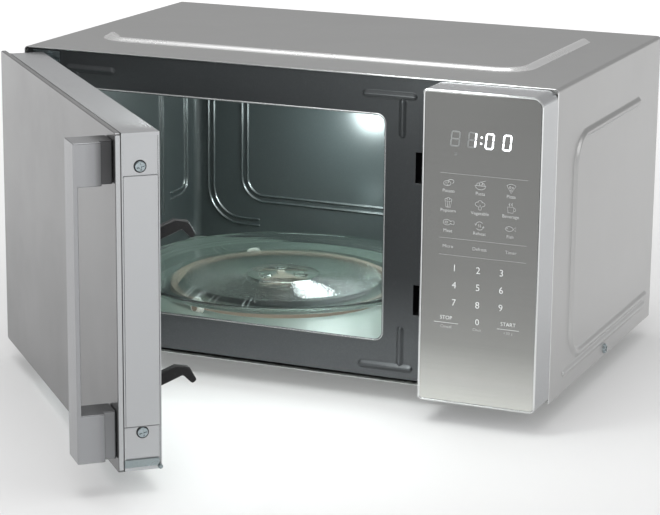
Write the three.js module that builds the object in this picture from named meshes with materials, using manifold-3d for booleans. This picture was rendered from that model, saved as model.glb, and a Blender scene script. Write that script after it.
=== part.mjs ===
// A countertop microwave oven with its door part open, built as separate solids.
// Millimetres, +Z up, front face towards -Y. The oven stands on z = 0.
import * as THREE from 'three';
import { mergeVertices } from 'three/addons/utils/BufferGeometryUtils.js';
import Module from 'manifold-3d';

const wasm = await Module();
wasm.setup();

// ---- driving dimensions -------------------------------------------------------------------
const WIDTH = 440;                  // cover, left to right
const DEPTH = 273;                  // cover, front edge (y = 0) to rear edge
const COVER_BOTTOM = 16;
const COVER_TOP = 253.2;
const SHEET = 0.8;                  // steel sheet
const GAP = 0.3;                    // clearance between touching pieces
const FRAME_FRONT = 4;              // front frame's face, set back from the cover's front edge
const FRAME_BOTTOM = 19.4;
const FRAME_RIGHT = 351.5;

const OPENING = { x0: 20, x1: 304, z0: 48.7, z1: 222, r: 6 };      // mouth of the oven
const CAVITY = { x0: 20, x1: 304, y1: 263, z0: 43.7, z1: 224 };    // inside of the oven
const SLOT = { x0: 329.5, x1: 346.5, z0: 70.9, z1: 94.4 };         // lower latch slot
const HOOK_PITCH = 102;                                            // lower hook to upper hook

const PANEL = { x0: 348.5, x1: WIDTH, y0: -33.4, z0: 18.1, z1: 252.3 };
const PANEL_RADII = [3, 4, 8, 3];                                  // from bottom left, anticlockwise

const DOOR = { x1: 347.5, y0: PANEL.y0, y1: -3, z0: 15.6, z1: 250.3 };
const DOOR_SKIN = 4;                                               // thickness of the front panel
const DOOR_BODY_X0 = 13.9;                                         // hinge end of the door's body
const DOOR_OPEN = THREE.MathUtils.degToRad(47.2);
const HINGE = { x: 17.2, y: -6.5, pin: 2.5, hole: 2.9, top: 242, bottom: 23.8 };

const HANDLE = { x0: 323.8, z0: 24.5, z1: 244.8, proud: 28.3, plate: 3.2 };
const GRIP = { z0: 58.6, z1: 215.3 };                              // finger space behind the bar

const TABLE = { x: 164, y: 134 };                                  // turntable centre
const TRAY = { r: 127.5, z0: 50.3, base: 4, rim: 59.5 };
const TRACK = { r: 106, z: 37.7 };                                 // round recess in the oven floor
const ROLLER = { r: 6, width: 4.5, track: 97, z: 44, phase: 9 };

const FAN = { x: 372, z: 172, duct: 52, blade: 48 };
const FEET = [['front_left', 38, 50], ['front_right', 402, 50],
  ['rear_left', 38, 238], ['rear_right', 402, 238]];

// ---- materials ----------------------------------------------------------------------------
const look = (color, roughness, metalness, extra = {}) =>
  new THREE.MeshStandardMaterial({ color, roughness, metalness, ...extra });
const MATERIALS = {
  silverPaint: look(0xb0b0ae, 0.42, 0.55),
  mirrorPanel: look(0xa6a8a6, 0.12, 0.9),
  silverPlastic: look(0xb6b9bb, 0.38, 0.3),
  charcoalPaint: look(0x3f4243, 0.45, 0.2),
  cavityEnamel: look(0x2f3a37, 0.2, 0.3),
  galvanised: look(0x9a9d9c, 0.5, 0.9),
  blackPlastic: look(0x1b1c1d, 0.35, 0),
  paleGlass: look(0xbfd6cc, 0.05, 0, { transparent: true, opacity: 0.35 }),
  beigePlastic: look(0xc3ae98, 0.5, 0),
  whitePlastic: look(0xe9e8e3, 0.45, 0),
  rubber: look(0x202020, 0.85, 0),
  zinc: look(0xa9b3bd, 0.28, 1),
  mica: look(0xb79f7a, 0.6, 0),
  copper: look(0xa5603a, 0.35, 0.9),
  aluminium: look(0xb9bcbe, 0.35, 1),
  lamination: look(0x5d5f63, 0.55, 0.8),
  boardGreen: look(0x2d5b3c, 0.55, 0),
  ceramic: look(0xd9d4c8, 0.5, 0),
};

// ---- solids -------------------------------------------------------------------------------
function solid(geometry) {
  const bare = geometry.clone();
  for (const name of Object.keys(bare.attributes)) {
    if (name !== 'position') bare.deleteAttribute(name);
  }
  const merged = mergeVertices(bare, 1e-4);
  return new wasm.Manifold(new wasm.Mesh({
    numProp: 3,
    vertProperties: new Float32Array(merged.attributes.position.array),
    triVerts: new Uint32Array(merged.index.array),
  }));
}

function geometryOf(body) {
  const mesh = body.getMesh();
  const geometry = new THREE.BufferGeometry();
  geometry.setAttribute('position', new THREE.BufferAttribute(mesh.vertProperties, 3));
  geometry.setIndex(new THREE.BufferAttribute(mesh.triVerts, 1));
  geometry.computeVertexNormals();
  return geometry;
}

const join = (first, ...rest) => rest.reduce((sum, body) => sum.add(body), first);
const cut = (first, ...rest) => rest.reduce((left, body) => left.subtract(body), first);

function block(x0, x1, y0, y1, z0, z1) {
  const box = new THREE.BoxGeometry(x1 - x0, y1 - y0, z1 - z0);
  return solid(box.translate((x0 + x1) / 2, (y0 + y1) / 2, (z0 + z1) / 2));
}

// A rectangle with rounded corners; radii run anticlockwise from the lower left.
function rectangle(x0, x1, y0, y1, radii = 0) {
  const [a, b, c, d] = Array.isArray(radii) ? radii : [radii, radii, radii, radii];
  const shape = new THREE.Shape();
  shape.moveTo(x0 + a, y0);
  const corner = (x, y, r, start) => {
    if (r > 0) shape.absarc(x, y, r, start, start + Math.PI / 2, false);
    else shape.lineTo(x, y);
  };
  corner(x1 - b, y0 + b, b, -Math.PI / 2);
  corner(x1 - c, y1 - c, c, 0);
  corner(x0 + d, y1 - d, d, Math.PI / 2);
  corner(x0 + a, y0 + a, a, Math.PI);
  return shape;
}

const outline = (points) => new THREE.Shape(points.map(([x, y]) => new THREE.Vector2(x, y)));

// A flat shape made thick along an axis: (u, v) is (x, y), (x, z) or (y, z).
function prism(axis, shape, from, to, curveSegments = 3) {
  const options = { depth: to - from, bevelEnabled: false, curveSegments };
  const geometry = new THREE.ExtrudeGeometry(shape, options);
  if (axis === 'z') return solid(geometry.translate(0, 0, from));
  if (axis === 'y') return solid(geometry.rotateX(Math.PI / 2).translate(0, to, 0));
  const turn = new THREE.Matrix4().set(0, 0, 1, 0, 1, 0, 0, 0, 0, 1, 0, 0, 0, 0, 0, 1);
  return solid(geometry.applyMatrix4(turn).translate(from, 0, 0));
}

// A round bar along an axis through (u, v), where (u, v) is (x, y), (x, z) or (y, z).
function rod(axis, u, v, from, to, r, sides = 24, rEnd = r) {
  const bar = new THREE.CylinderGeometry(rEnd, r, to - from, sides).rotateX(Math.PI / 2);
  bar.translate(0, 0, (from + to) / 2);
  if (axis === 'z') return solid(bar.translate(u, v, 0));
  if (axis === 'y') return solid(bar.rotateX(-Math.PI / 2).translate(u, 0, v));
  return solid(bar.rotateY(Math.PI / 2).translate(0, u, v));
}

// A profile of [radius, height] points turned about a vertical axis through (x, y).
function turned(profile, x, y, sides = 48) {
  const points = profile.map(([r, z]) => new THREE.Vector2(r, z));
  if (THREE.ShapeUtils.area(points) < 0) points.reverse();
  return solid(new THREE.LatheGeometry(points, sides).rotateX(Math.PI / 2).translate(x, y, 0));
}

// The same solid made count times, turned about a vertical axis through (x, y).
function around(count, x, y, phase, make) {
  const copies = [];
  for (let i = 0; i < count; i += 1) {
    const angle = phase + (360 * i) / count;
    copies.push(make().translate([-x, -y, 0]).rotate([0, 0, angle]).translate([x, y, 0]));
  }
  return copies;
}

function piece(parent, name, material, body) {
  const mesh = new THREE.Mesh(geometryOf(body), MATERIALS[material]);
  mesh.name = name;
  parent.add(mesh);
  return mesh;
}

const oven = new THREE.Group();

// ---- sheet-metal case ---------------------------------------------------------------------
const SIDE_SCREW = { y: 141.9, z: 21.8, shank: 1.5, hole: 1.9 };

function outerCover() {
  const inner = rectangle(SHEET, WIDTH - SHEET, COVER_BOTTOM - 5, COVER_TOP - SHEET, [0, 0, 2.2, 2.2]);
  let cover = cut(
    prism('y', rectangle(0, WIDTH, COVER_BOTTOM, COVER_TOP, [0, 0, 3, 3]), 0, DEPTH),
    prism('y', inner, -1, DEPTH + 1),
    rod('x', SIDE_SCREW.y, SIDE_SCREW.z, -1, WIDTH + 1, SIDE_SCREW.hole, 12));
  for (let i = 0; i < 6; i += 1) {
    const z = 176 + 9 * i;
    cover = cut(cover, block(-1, 2, 190, 236, z, z + 3.5));
  }
  return cover;
}
piece(oven, 'outer_cover', 'silverPaint', outerCover());

const BASE_Z = COVER_BOTTOM + 0.6;
const INSIDE = { x0: 1.2, x1: WIDTH - 1.2 };

function basePlate() {
  let plate = join(
    block(INSIDE.x0, INSIDE.x1, 1.5, 270.5, BASE_Z, BASE_Z + SHEET),
    block(INSIDE.x0, INSIDE.x0 + SHEET, 14, 270.5, BASE_Z, 28),
    block(INSIDE.x1 - SHEET, INSIDE.x1, 14, 270.5, BASE_Z, 28));
  plate = cut(plate, rod('x', SIDE_SCREW.y, SIDE_SCREW.z, -1, WIDTH + 1, SIDE_SCREW.hole, 12));
  for (let i = 0; i < 7; i += 1) {
    const y = 168 + 8 * i;
    plate = cut(plate, block(366, 420, y, y + 3.5, BASE_Z - 1, BASE_Z + 2));
  }
  return plate;
}
piece(oven, 'base_plate', 'galvanised', basePlate());

const REAR = { y: 271, gland: { x: 405, z: 46, r: 8 } };

function rearPanel() {
  let panel = cut(
    prism('y', rectangle(INSIDE.x0, INSIDE.x1, BASE_Z + 1.2, COVER_TOP - 1.3, [0, 0, 2.5, 2.5]),
      REAR.y, REAR.y + SHEET),
    rod('y', REAR.gland.x, REAR.gland.z, REAR.y - 1, REAR.y + 2, REAR.gland.r, 20));
  const grille = (x0, x1, z0, count) => {
    for (let i = 0; i < count; i += 1) {
      const z = z0 + 9 * i;
      panel = cut(panel, block(x0, x1, REAR.y - 1, REAR.y + 2, z, z + 4));
    }
  };
  grille(324, 369, 126, 11);
  grille(375, 420, 126, 11);
  grille(40, 90, 196, 4);
  grille(96, 146, 196, 4);
  return panel;
}
piece(oven, 'rear_panel', 'silverPaint', rearPanel());

const FRAME_TOP = COVER_TOP - 1.4;
const FRAME_BACK = FRAME_FRONT + SHEET;

function frontFrame() {
  const flange = 8;
  const back = FRAME_BACK + flange;
  const slots = [0, HOOK_PITCH].map((lift) =>
    block(SLOT.x0, SLOT.x1, FRAME_FRONT - 1, back, SLOT.z0 + lift, SLOT.z1 + lift));
  const radii = [0, 0, 0, 2.5];
  return cut(
    prism('y', rectangle(INSIDE.x0, FRAME_RIGHT, FRAME_BOTTOM, FRAME_TOP, radii), FRAME_FRONT, back),
    block(INSIDE.x0 + SHEET, FRAME_RIGHT + 1, FRAME_BACK, back + 1,
      FRAME_BOTTOM + SHEET, FRAME_TOP - SHEET),
    prism('y', rectangle(OPENING.x0, OPENING.x1, OPENING.z0, OPENING.z1, OPENING.r),
      FRAME_FRONT - 1, FRAME_BACK + 1),
    ...slots);
}
piece(oven, 'front_frame', 'charcoalPaint', frontFrame());

// ---- oven cavity --------------------------------------------------------------------------
const PORT = { y0: 95, y1: 175, z0: 110, z1: 170 };       // microwave port in the right wall
const LAMP = { y: 205, z: 197 };

function cavityShell() {
  const y0 = FRAME_BACK + GAP;
  let shell = cut(
    block(CAVITY.x0 - SHEET, CAVITY.x1 + SHEET, y0, CAVITY.y1 + SHEET,
      CAVITY.z0 + GAP, CAVITY.z1 + SHEET),
    block(CAVITY.x0, CAVITY.x1, y0 - 1, CAVITY.y1, CAVITY.z0 - 1, CAVITY.z1),
    block(CAVITY.x1 - 1, CAVITY.x1 + 2, PORT.y0, PORT.y1, PORT.z0, PORT.z1));
  for (const dy of [-9, -3, 3, 9]) {
    for (const dz of [-6, 0, 6]) {
      shell = cut(shell,
        rod('x', LAMP.y + dy, LAMP.z + dz, CAVITY.x1 - 1, CAVITY.x1 + 2, 1.8, 6));
    }
  }
  for (let i = 0; i < 6; i += 1) {
    for (const z of [196, 204]) {
      shell = cut(shell, rod('x', 206 + 7 * i, z, CAVITY.x0 - 2, CAVITY.x0 + 1, 2, 6));
    }
  }
  return shell;
}

// floor sheet with the round dish that the rollers run in
function cavityFloor() {
  return cut(
    join(
      block(CAVITY.x0 - SHEET, CAVITY.x1 + SHEET, FRAME_BACK + GAP, CAVITY.y1 + SHEET,
        CAVITY.z0 - SHEET, CAVITY.z0),
      rod('z', TABLE.x, TABLE.y, TRACK.z - SHEET, CAVITY.z0, TRACK.r + SHEET, 40)),
    rod('z', TABLE.x, TABLE.y, TRACK.z, CAVITY.z0 + 1, TRACK.r, 40),
    rod('z', TABLE.x, TABLE.y, TRACK.z - 2, TRACK.z + 1, 7, 16));
}
piece(oven, 'cavity_shell', 'cavityEnamel', cavityShell());
piece(oven, 'cavity_floor', 'cavityEnamel', cavityFloor());

const DUCT = { x0: CAVITY.x1 + SHEET + GAP, x1: 337, y0: 88, y1: 182, z0: 104, z1: 176 };
const MAGNETRON = { y: 150, z: 140, x0: DUCT.x1 + GAP, x1: 407 };

piece(oven, 'waveguide', 'galvanised', cut(
  block(DUCT.x0, DUCT.x1, DUCT.y0, DUCT.y1, DUCT.z0, DUCT.z1),
  block(DUCT.x0 - 1, DUCT.x1 - 1, DUCT.y0 + 1, DUCT.y1 - 1, DUCT.z0 + 1, DUCT.z1 - 1),
  rod('x', MAGNETRON.y, MAGNETRON.z, DUCT.x1 - 2, DUCT.x1 + 1, 9.5, 24)));

piece(oven, 'waveguide_cover', 'mica', prism('x',
  rectangle(PORT.y0 - 5, PORT.y1 + 5, PORT.z0 - 6, PORT.z1 + 6, 5),
  CAVITY.x1 - GAP - SHEET, CAVITY.x1 - GAP));

const LAMP_BOX = { x0: DUCT.x0, x1: 332, half: 17 };
piece(oven, 'lamp_socket', 'ceramic', cut(
  block(LAMP_BOX.x0, LAMP_BOX.x1, LAMP.y - LAMP_BOX.half, LAMP.y + LAMP_BOX.half,
    LAMP.z - LAMP_BOX.half, LAMP.z + LAMP_BOX.half),
  block(LAMP_BOX.x0 - 1, LAMP_BOX.x1 - 1.5, LAMP.y - LAMP_BOX.half + 1, LAMP.y + LAMP_BOX.half - 1,
    LAMP.z - LAMP_BOX.half + 1, LAMP.z + LAMP_BOX.half - 1)));
piece(oven, 'lamp_bulb', 'paleGlass', join(
  rod('x', LAMP.y, LAMP.z, 322, 330.2, 6, 16),
  rod('x', LAMP.y, LAMP.z, 313, 323, 9, 16, 7),
  rod('x', LAMP.y, LAMP.z, 309, 313.5, 6, 16, 9)));

piece(oven, 'thermal_cutout', 'blackPlastic', join(
  block(DUCT.x0, DUCT.x0 + 1.5, 46, 74, 184, 196),
  rod('x', 60, 190, DUCT.x0, DUCT.x0 + 9, 8, 16),
  block(DUCT.x0 + 8, DUCT.x0 + 15, 54, 56, 187, 193),
  block(DUCT.x0 + 8, DUCT.x0 + 15, 64, 66, 187, 193)));

// ---- microwave generator ------------------------------------------------------------------
function magnetronBody() {
  const { y, z, x0, x1 } = MAGNETRON;
  const half = 40;
  const parts = [
    block(x0, x0 + 2, y - half, y + half, z - half, z + half),
    block(x1 - 2, x1, y - half, y + half, z - half, z + half),
    block(x0, x1, y - half, y + half, z - half, z - half + 2),
    block(x0, x1, y - half, y + half, z + half - 2, z + half),
    rod('x', y, z, x0, x1, 20, 16),
    block(x1 - 1, x1 + 20, y - 20, y + 20, z - 16, z + 24),
  ];
  for (let i = 0; i < 5; i += 1) {
    const x = x0 + 18 + 8 * i;
    parts.push(block(x, x + 1, y - 36, y + 36, z - half, z + half));
  }
  return join(...parts);
}
piece(oven, 'magnetron_body', 'aluminium', magnetronBody());
piece(oven, 'magnetron_antenna', 'zinc', join(
  rod('x', MAGNETRON.y, MAGNETRON.z, 318, DUCT.x1, 7.5, 20),
  rod('x', MAGNETRON.y, MAGNETRON.z, 312, 318.5, 5, 20, 7.5)));

const CORE = { x0: 348, x1: 428, y0: 70, y1: 130, z0: BASE_Z + 1.3, z1: 88 };
const COIL = { outer: 14, x0: 375, x1: 401, width: 12.7, window: [32, 74] };

piece(oven, 'transformer_core', 'lamination', cut(
  block(CORE.x0, CORE.x1, CORE.y0, CORE.y1, CORE.z0, CORE.z1),
  block(COIL.x0 - COIL.width - GAP, COIL.x0, CORE.y0 - 1, CORE.y1 + 1, ...COIL.window),
  block(COIL.x1, COIL.x1 + COIL.width + GAP, CORE.y0 - 1, CORE.y1 + 1, ...COIL.window)));

for (const [name, material, z0, z1] of [
  ['transformer_primary_coil', 'copper', COIL.window[0] + GAP, 50],
  ['transformer_secondary_coil', 'mica', 53, COIL.window[1] - GAP]]) {
  piece(oven, name, material, cut(
    prism('z', rectangle(COIL.x0 - COIL.width, COIL.x1 + COIL.width,
      CORE.y0 - COIL.outer, CORE.y1 + COIL.outer, 10), z0, z1),
    block(COIL.x0 - GAP, COIL.x1 + GAP, CORE.y0 - GAP, CORE.y1 + GAP, z0 - 1, z1 + 1)));
}

const CAN = { x: 330, y: 209, length: 50, width: 30, z0: BASE_Z + 1.3, z1: 88 };
const canShape = (grow) => rectangle(CAN.x - CAN.width / 2 - grow, CAN.x + CAN.width / 2 + grow,
  CAN.y - CAN.length / 2 - grow, CAN.y + CAN.length / 2 + grow, CAN.width / 2 + grow - 0.01);

piece(oven, 'capacitor', 'aluminium', join(
  prism('z', canShape(0), CAN.z0, CAN.z1),
  block(CAN.x - 3, CAN.x + 3, CAN.y - 12, CAN.y - 11, CAN.z1 - 1, CAN.z1 + 10),
  block(CAN.x - 3, CAN.x + 3, CAN.y + 11, CAN.y + 12, CAN.z1 - 1, CAN.z1 + 10)));
piece(oven, 'capacitor_clamp', 'galvanised', cut(
  join(prism('z', canShape(1.5), 48, 60), block(CAN.x + 10, CAN.x + 28, CAN.y - 2, CAN.y + 2, 48, 60)),
  prism('z', canShape(GAP), 47, 61)));
piece(oven, 'hv_diode', 'blackPlastic', join(
  rod('x', 164, BASE_Z + 5, 350, 366, 3, 12),
  rod('x', 164, BASE_Z + 5, 342, 374, 0.8, 8),
  block(372, 380, 160, 168, BASE_Z + 1.1, BASE_Z + 6)));

// ---- cooling fan --------------------------------------------------------------------------
const SHROUD = { y0: 250, y1: 270.5, half: 60 };

function fanShroud() {
  const { x, z } = FAN;
  const ring = cut(
    block(x - SHROUD.half, x + SHROUD.half, SHROUD.y0, SHROUD.y1, z - SHROUD.half, z + SHROUD.half),
    rod('y', x, z, SHROUD.y0 - 1, SHROUD.y1 + 1, FAN.duct, 32));
  const bridge = join(
    block(x - SHROUD.half + 1, x + SHROUD.half - 1, SHROUD.y0 - 4, SHROUD.y0 + 0.5, z - 4, z + 4),
    rod('y', x, z, SHROUD.y0 - 4, SHROUD.y0, 16, 24));
  return cut(join(ring, bridge), rod('y', x, z, SHROUD.y0 - 6, SHROUD.y0 + 2, 6, 20));
}
piece(oven, 'fan_shroud', 'blackPlastic', fanShroud());

piece(oven, 'fan_motor', 'lamination', cut(
  join(
    block(FAN.x - 24, FAN.x + 24, 228, 245.7, FAN.z - 20, FAN.z + 20),
    block(FAN.x - 34, FAN.x - 23, 224, 245.7, FAN.z - 13, FAN.z + 13),
    rod('y', FAN.x + 2, FAN.z, 222, 245.7, 11, 20)),
  rod('y', FAN.x, FAN.z, 221, 247, 2.5, 16)));

// ---- small electrical pieces --------------------------------------------------------------
piece(oven, 'line_filter_board', 'boardGreen', join(
  block(345, 425, 62, 126, 214, 215.6),
  rod('z', 372, 94, 215, 231, 14, 20),
  block(395, 418, 72, 88, 215, 229),
  block(395, 418, 98, 112, 215, 227),
  rod('z', 356, 72, 215, 221, 3, 12)));

const LATCH_BOX = { x0: 325, x1: 351, y0: FRAME_BACK + GAP, y1: 42, z0: 60, z1: 210 };

function latchBoard() {
  const { x0, x1, y0, y1, z0, z1 } = LATCH_BOX;
  const ledges = [0, HOOK_PITCH].map((lift) =>
    block(x0, x1, y0, y1, SLOT.z0 - 9 + lift, SLOT.z0 - 0.4 + lift));
  const bores = [];
  for (const z of SWITCH_Z) bores.push(rod('x', 24, z, x1 - 4, x1 + 1, 2.6, 12));
  return cut(
    join(
      block(x0, x0 + 2, y0, y1, z0, z1),
      block(x1 - 2, x1, y0, y1, z0, z1),
      block(x0, x1, y1 - 2, y1, z0, z1),
      ...ledges),
    ...bores);
}
const SWITCH_Z = [184, 130, 82];
piece(oven, 'latch_board', 'whitePlastic', latchBoard());

['primary', 'monitor', 'secondary'].forEach((name, i) => {
  const z = SWITCH_Z[i];
  const x = LATCH_BOX.x1 + GAP;
  piece(oven, `door_switch_${name}`, 'blackPlastic', join(
    block(x, x + 10, 12, 36, z - 8, z + 8),
    rod('x', 24, z, x - 5, x + 1, 2, 12),
    block(x + 9, x + 15, 16, 17, z - 6, z - 1),
    block(x + 9, x + 15, 30, 31, z - 6, z - 1)));
});

// ---- control panel ------------------------------------------------------------------------
const panelShape = (inset) => rectangle(PANEL.x0 + inset, PANEL.x1 - inset,
  PANEL.z0 + inset, PANEL.z1 - inset, PANEL_RADII.map((r) => Math.max(r - inset, 0.5)));
const GLASS_BACK = PANEL.y0 + 2.5;

piece(oven, 'control_panel_frame', 'silverPlastic', cut(
  prism('y', panelShape(0), PANEL.y0 + 0.3, -GAP),
  prism('y', panelShape(2), GLASS_BACK + 2.3, 1),
  prism('y', panelShape(1.2), PANEL.y0 - 1, GLASS_BACK + GAP),
  prism('y', panelShape(7), GLASS_BACK - 1, GLASS_BACK + 3)));
piece(oven, 'control_panel_glass', 'mirrorPanel',
  prism('y', panelShape(1.5), PANEL.y0, GLASS_BACK));
piece(oven, 'display_module', 'blackPlastic', cut(
  block(366, 426, GLASS_BACK + 0.6, -24, 204, 234),
  block(369, 423, GLASS_BACK, -29, 208, 230)));
piece(oven, 'control_board', 'boardGreen', join(
  block(354, 434, -23.6, -22, 28, 242),
  block(362, 380, -22.5, -6, 40, 58),
  block(386, 404, -22.5, -6, 40, 58),
  rod('y', 420, 66, -22.5, -14, 6, 16),
  block(378, 410, -22.5, -18, 120, 132),
  block(358, 376, -22.5, -11, 176, 186)));

// ---- hinge brackets, feet, gland and case screws ------------------------------------------
function hingeBracket(z, plateFrom, plateTo) {
  const tongue = new THREE.Shape();
  tongue.moveTo(HINGE.x - 6, FRAME_FRONT - GAP);
  tongue.absarc(HINGE.x, HINGE.y, 6, Math.PI, 2 * Math.PI, false);
  tongue.lineTo(HINGE.x + 6, FRAME_FRONT - GAP);
  return cut(
    join(
      prism('z', tongue, z - 0.8, z + 0.8, 8),
      block(HINGE.x - 11, HINGE.x + 13, FRAME_FRONT - GAP - 1.5, FRAME_FRONT - GAP,
        plateFrom, plateTo)),
    rod('z', HINGE.x, HINGE.y, z - 2, z + 2, HINGE.hole, 24));
}
piece(oven, 'hinge_bracket_top', 'zinc', hingeBracket(HINGE.top, 226, 250.6));
piece(oven, 'hinge_bracket_bottom', 'zinc', hingeBracket(HINGE.bottom, 20.4, 42));

for (const [corner, x, y] of FEET) {
  piece(oven, `foot_${corner}`, 'rubber', turned([
    [0, 0], [9.4, 0], [10.4, 1], [12, COVER_BOTTOM - 3], [12, COVER_BOTTOM + GAP],
    [0, COVER_BOTTOM + GAP]], x, y, 20));
}

piece(oven, 'cord_gland', 'blackPlastic', cut(
  join(
    rod('y', REAR.gland.x, REAR.gland.z, REAR.y + SHEET + GAP, 276, 11, 20),
    rod('y', REAR.gland.x, REAR.gland.z, 262, 275, REAR.gland.r - 0.5, 20)),
  rod('y', REAR.gland.x, REAR.gland.z, 261, 277, 4, 16)));

piece(oven, 'side_screw_right', 'zinc', join(
  rod('x', SIDE_SCREW.y, SIDE_SCREW.z, WIDTH + 0.2, WIDTH + 1.8, 4.2, 16, 3),
  rod('x', SIDE_SCREW.y, SIDE_SCREW.z, WIDTH - 6, WIDTH + 1, SIDE_SCREW.shank, 10)));
piece(oven, 'side_screw_left', 'zinc', join(
  rod('x', SIDE_SCREW.y, SIDE_SCREW.z, -1.8, -0.2, 3, 16, 4.2),
  rod('x', SIDE_SCREW.y, SIDE_SCREW.z, -1, 6, SIDE_SCREW.shank, 10)));

piece(oven, 'turntable_motor', 'zinc', cut(
  join(
    rod('z', TABLE.x, TABLE.y, BASE_Z + 1.1, TRACK.z - 1.7, 24.5, 32),
    block(TABLE.x - 30, TABLE.x + 30, TABLE.y - 4, TABLE.y + 4, TRACK.z - 3, TRACK.z - 1.7),
    block(TABLE.x - 6, TABLE.x + 6, TABLE.y - 34, TABLE.y - 20, BASE_Z + 3, BASE_Z + 12)),
  rod('z', TABLE.x, TABLE.y, 27, TRACK.z, 4.2, 16)));

// ---- door, drawn shut and then swung about its hinge --------------------------------------
const doorSwing = new THREE.Group();
doorSwing.position.set(HINGE.x, HINGE.y, 0);
doorSwing.rotation.z = -DOOR_OPEN;
oven.add(doorSwing);
const door = new THREE.Group();
door.position.set(-HINGE.x, -HINGE.y, 0);
doorSwing.add(door);

const SKIN_BACK = DOOR.y0 + DOOR_SKIN;
const BODY = { x0: DOOR_BODY_X0, x1: DOOR.x1 - 0.2, y0: SKIN_BACK + GAP, z0: 16.1, z1: 249.8, wall: 2.5 };
const WINDOW = { x0: 62, x1: 300, z0: 55, z1: 212 };       // hole in the door's inner face
const END_RECESS = 1.3;                                    // free end face, behind its lips
const END_SCREWS = { y: -16.1, top: 226.9, bottom: 42.9, shank: 1.6 };
const STRIP = { z0: 46.8, z1: 220.7 };
const LATCH = { x0: 334, x1: 340, y0: -22, y1: -12, z0: 62, z1: 206 };

piece(door, 'door_front_panel', 'mirrorPanel', prism('y',
  rectangle(0, DOOR.x1, DOOR.z0, DOOR.z1, 2.5), DOOR.y0, SKIN_BACK));

function doorFrame() {
  const { x0, x1, y0, z0, z1, wall } = BODY;
  const recessX = x1 - END_RECESS;
  const boss = (from, to) => block(x0, x0 + 9.5, -13.5, DOOR.y1, from, to);
  const notch = (z) => block(x0 - 1, HINGE.x + 8.5, HINGE.y - 9, DOOR.y1 + 1, z - 1.4, z + 1.4);
  const hooks = [0, HOOK_PITCH].map((lift) =>
    block(LATCH.x0 - 2.5, LATCH.x1 + 2.5, -10, DOOR.y1 + 1, 69.5 + lift, 88 + lift));
  const shell = cut(
    block(x0, x1, y0, DOOR.y1, z0, z1),
    block(x0 + wall, recessX - wall, y0 - 1, DOOR.y1 - wall, z0 + wall, z1 - wall),
    block(WINDOW.x0, WINDOW.x1, -10, DOOR.y1 + 1, WINDOW.z0, WINDOW.z1),
    block(recessX, x1 + 1, y0 + 1, DOOR.y1 - 0.8, z0 + 3.5, z1 - 2.5));
  return cut(
    join(shell, boss(z0, 34), boss(231, z1)),
    notch(HINGE.top),
    notch(HINGE.bottom),
    rod('z', HINGE.x, HINGE.y, z0 + 1.2, 36, HINGE.hole, 24),
    rod('z', HINGE.x, HINGE.y, 229, z1 - 1.2, HINGE.hole, 24),
    rod('x', END_SCREWS.y, END_SCREWS.top, 335, x1 + 1, END_SCREWS.shank + 0.5, 12),
    rod('x', END_SCREWS.y, END_SCREWS.bottom, 335, x1 + 1, END_SCREWS.shank + 0.5, 12),
    ...hooks);
}
piece(door, 'door_frame', 'silverPlastic', doorFrame());

const END_FACE = BODY.x1 - END_RECESS;
piece(door, 'door_edge_strip', 'silverPlastic', prism('x',
  rectangle(BODY.y0 + 1.3, DOOR.y1 - 1.1, STRIP.z0, STRIP.z1, 0.8), END_FACE + GAP, BODY.x1 - 0.1));

for (const place of ['top', 'bottom']) {
  piece(door, `door_end_screw_${place}`, 'zinc', join(
    rod('x', END_SCREWS.y, END_SCREWS[place], END_FACE + 0.2, BODY.x1 - 0.1, 3.6, 16, 3.1),
    rod('x', END_SCREWS.y, END_SCREWS[place], 337, END_FACE + 0.6, END_SCREWS.shank, 12)));
}

const PAN = { x0: 24, x1: 322, y0: -27, y1: -13, z0: 26, z1: 240 };
piece(door, 'door_inner_frame', 'galvanised', cut(
  block(PAN.x0, PAN.x1, PAN.y0, PAN.y1, PAN.z0, PAN.z1),
  block(PAN.x0 + 1, PAN.x1 - 1, PAN.y0 - 1, PAN.y1 - 1, PAN.z0 + 1, PAN.z1 - 1)));

piece(door, 'door_window', 'paleGlass', block(76, 286, -10.4, -8.6, 68, 198));
piece(door, 'door_choke_cover', 'blackPlastic', cut(
  block(WINDOW.x0 + GAP, WINDOW.x1 - GAP, -8.3, -3.5, WINDOW.z0 + GAP, WINDOW.z1 - GAP),
  prism('y', rectangle(86, 276, 78, 188, 8), -12, 0)));

const barFront = DOOR.y0 - HANDLE.proud;
const barBack = barFront + HANDLE.plate;
const NECK = { y: DOOR.y0 - 9, inset: 5 };                 // narrower root of each handle leg
function handleLeg(z0, z1) {
  return join(
    block(HANDLE.x0, DOOR.x1, barFront, NECK.y, z0, z1),
    block(HANDLE.x0, DOOR.x1 - NECK.inset, barFront, DOOR.y0 - GAP, z0, z1));
}
piece(door, 'door_handle', 'silverPlastic', join(
  block(HANDLE.x0, DOOR.x1, barFront, barBack, HANDLE.z0, HANDLE.z1),
  handleLeg(HANDLE.z0, GRIP.z0),
  handleLeg(GRIP.z1, HANDLE.z1)));

piece(door, 'hinge_pin_top', 'zinc', rod('z', HINGE.x, HINGE.y, 234, BODY.z1 - 1.5, HINGE.pin, 24));
piece(door, 'hinge_pin_bottom', 'zinc', rod('z', HINGE.x, HINGE.y, BODY.z0 + 1.5, 32, HINGE.pin, 24));

// The lower hook, seen from the free end: a neck, a raised knee and a tip that points down.
const HOOK = [[-14, 71.8], [-1.4, 71.8], [14.7, 78.2], [21.4, 71.5], [24.6, 74], [19.3, 83.8],
  [9.5, 85.5], [-1.4, 81.3], [-14, 81.3]];
const hook = (lift) => prism('x', outline(HOOK.map(([y, z]) => [y, z + lift])), LATCH.x0, LATCH.x1);
piece(door, 'latch_hook', 'blackPlastic', join(
  block(LATCH.x0, LATCH.x1, LATCH.y0, LATCH.y1, LATCH.z0, LATCH.z1), hook(0), hook(HOOK_PITCH)));

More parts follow.
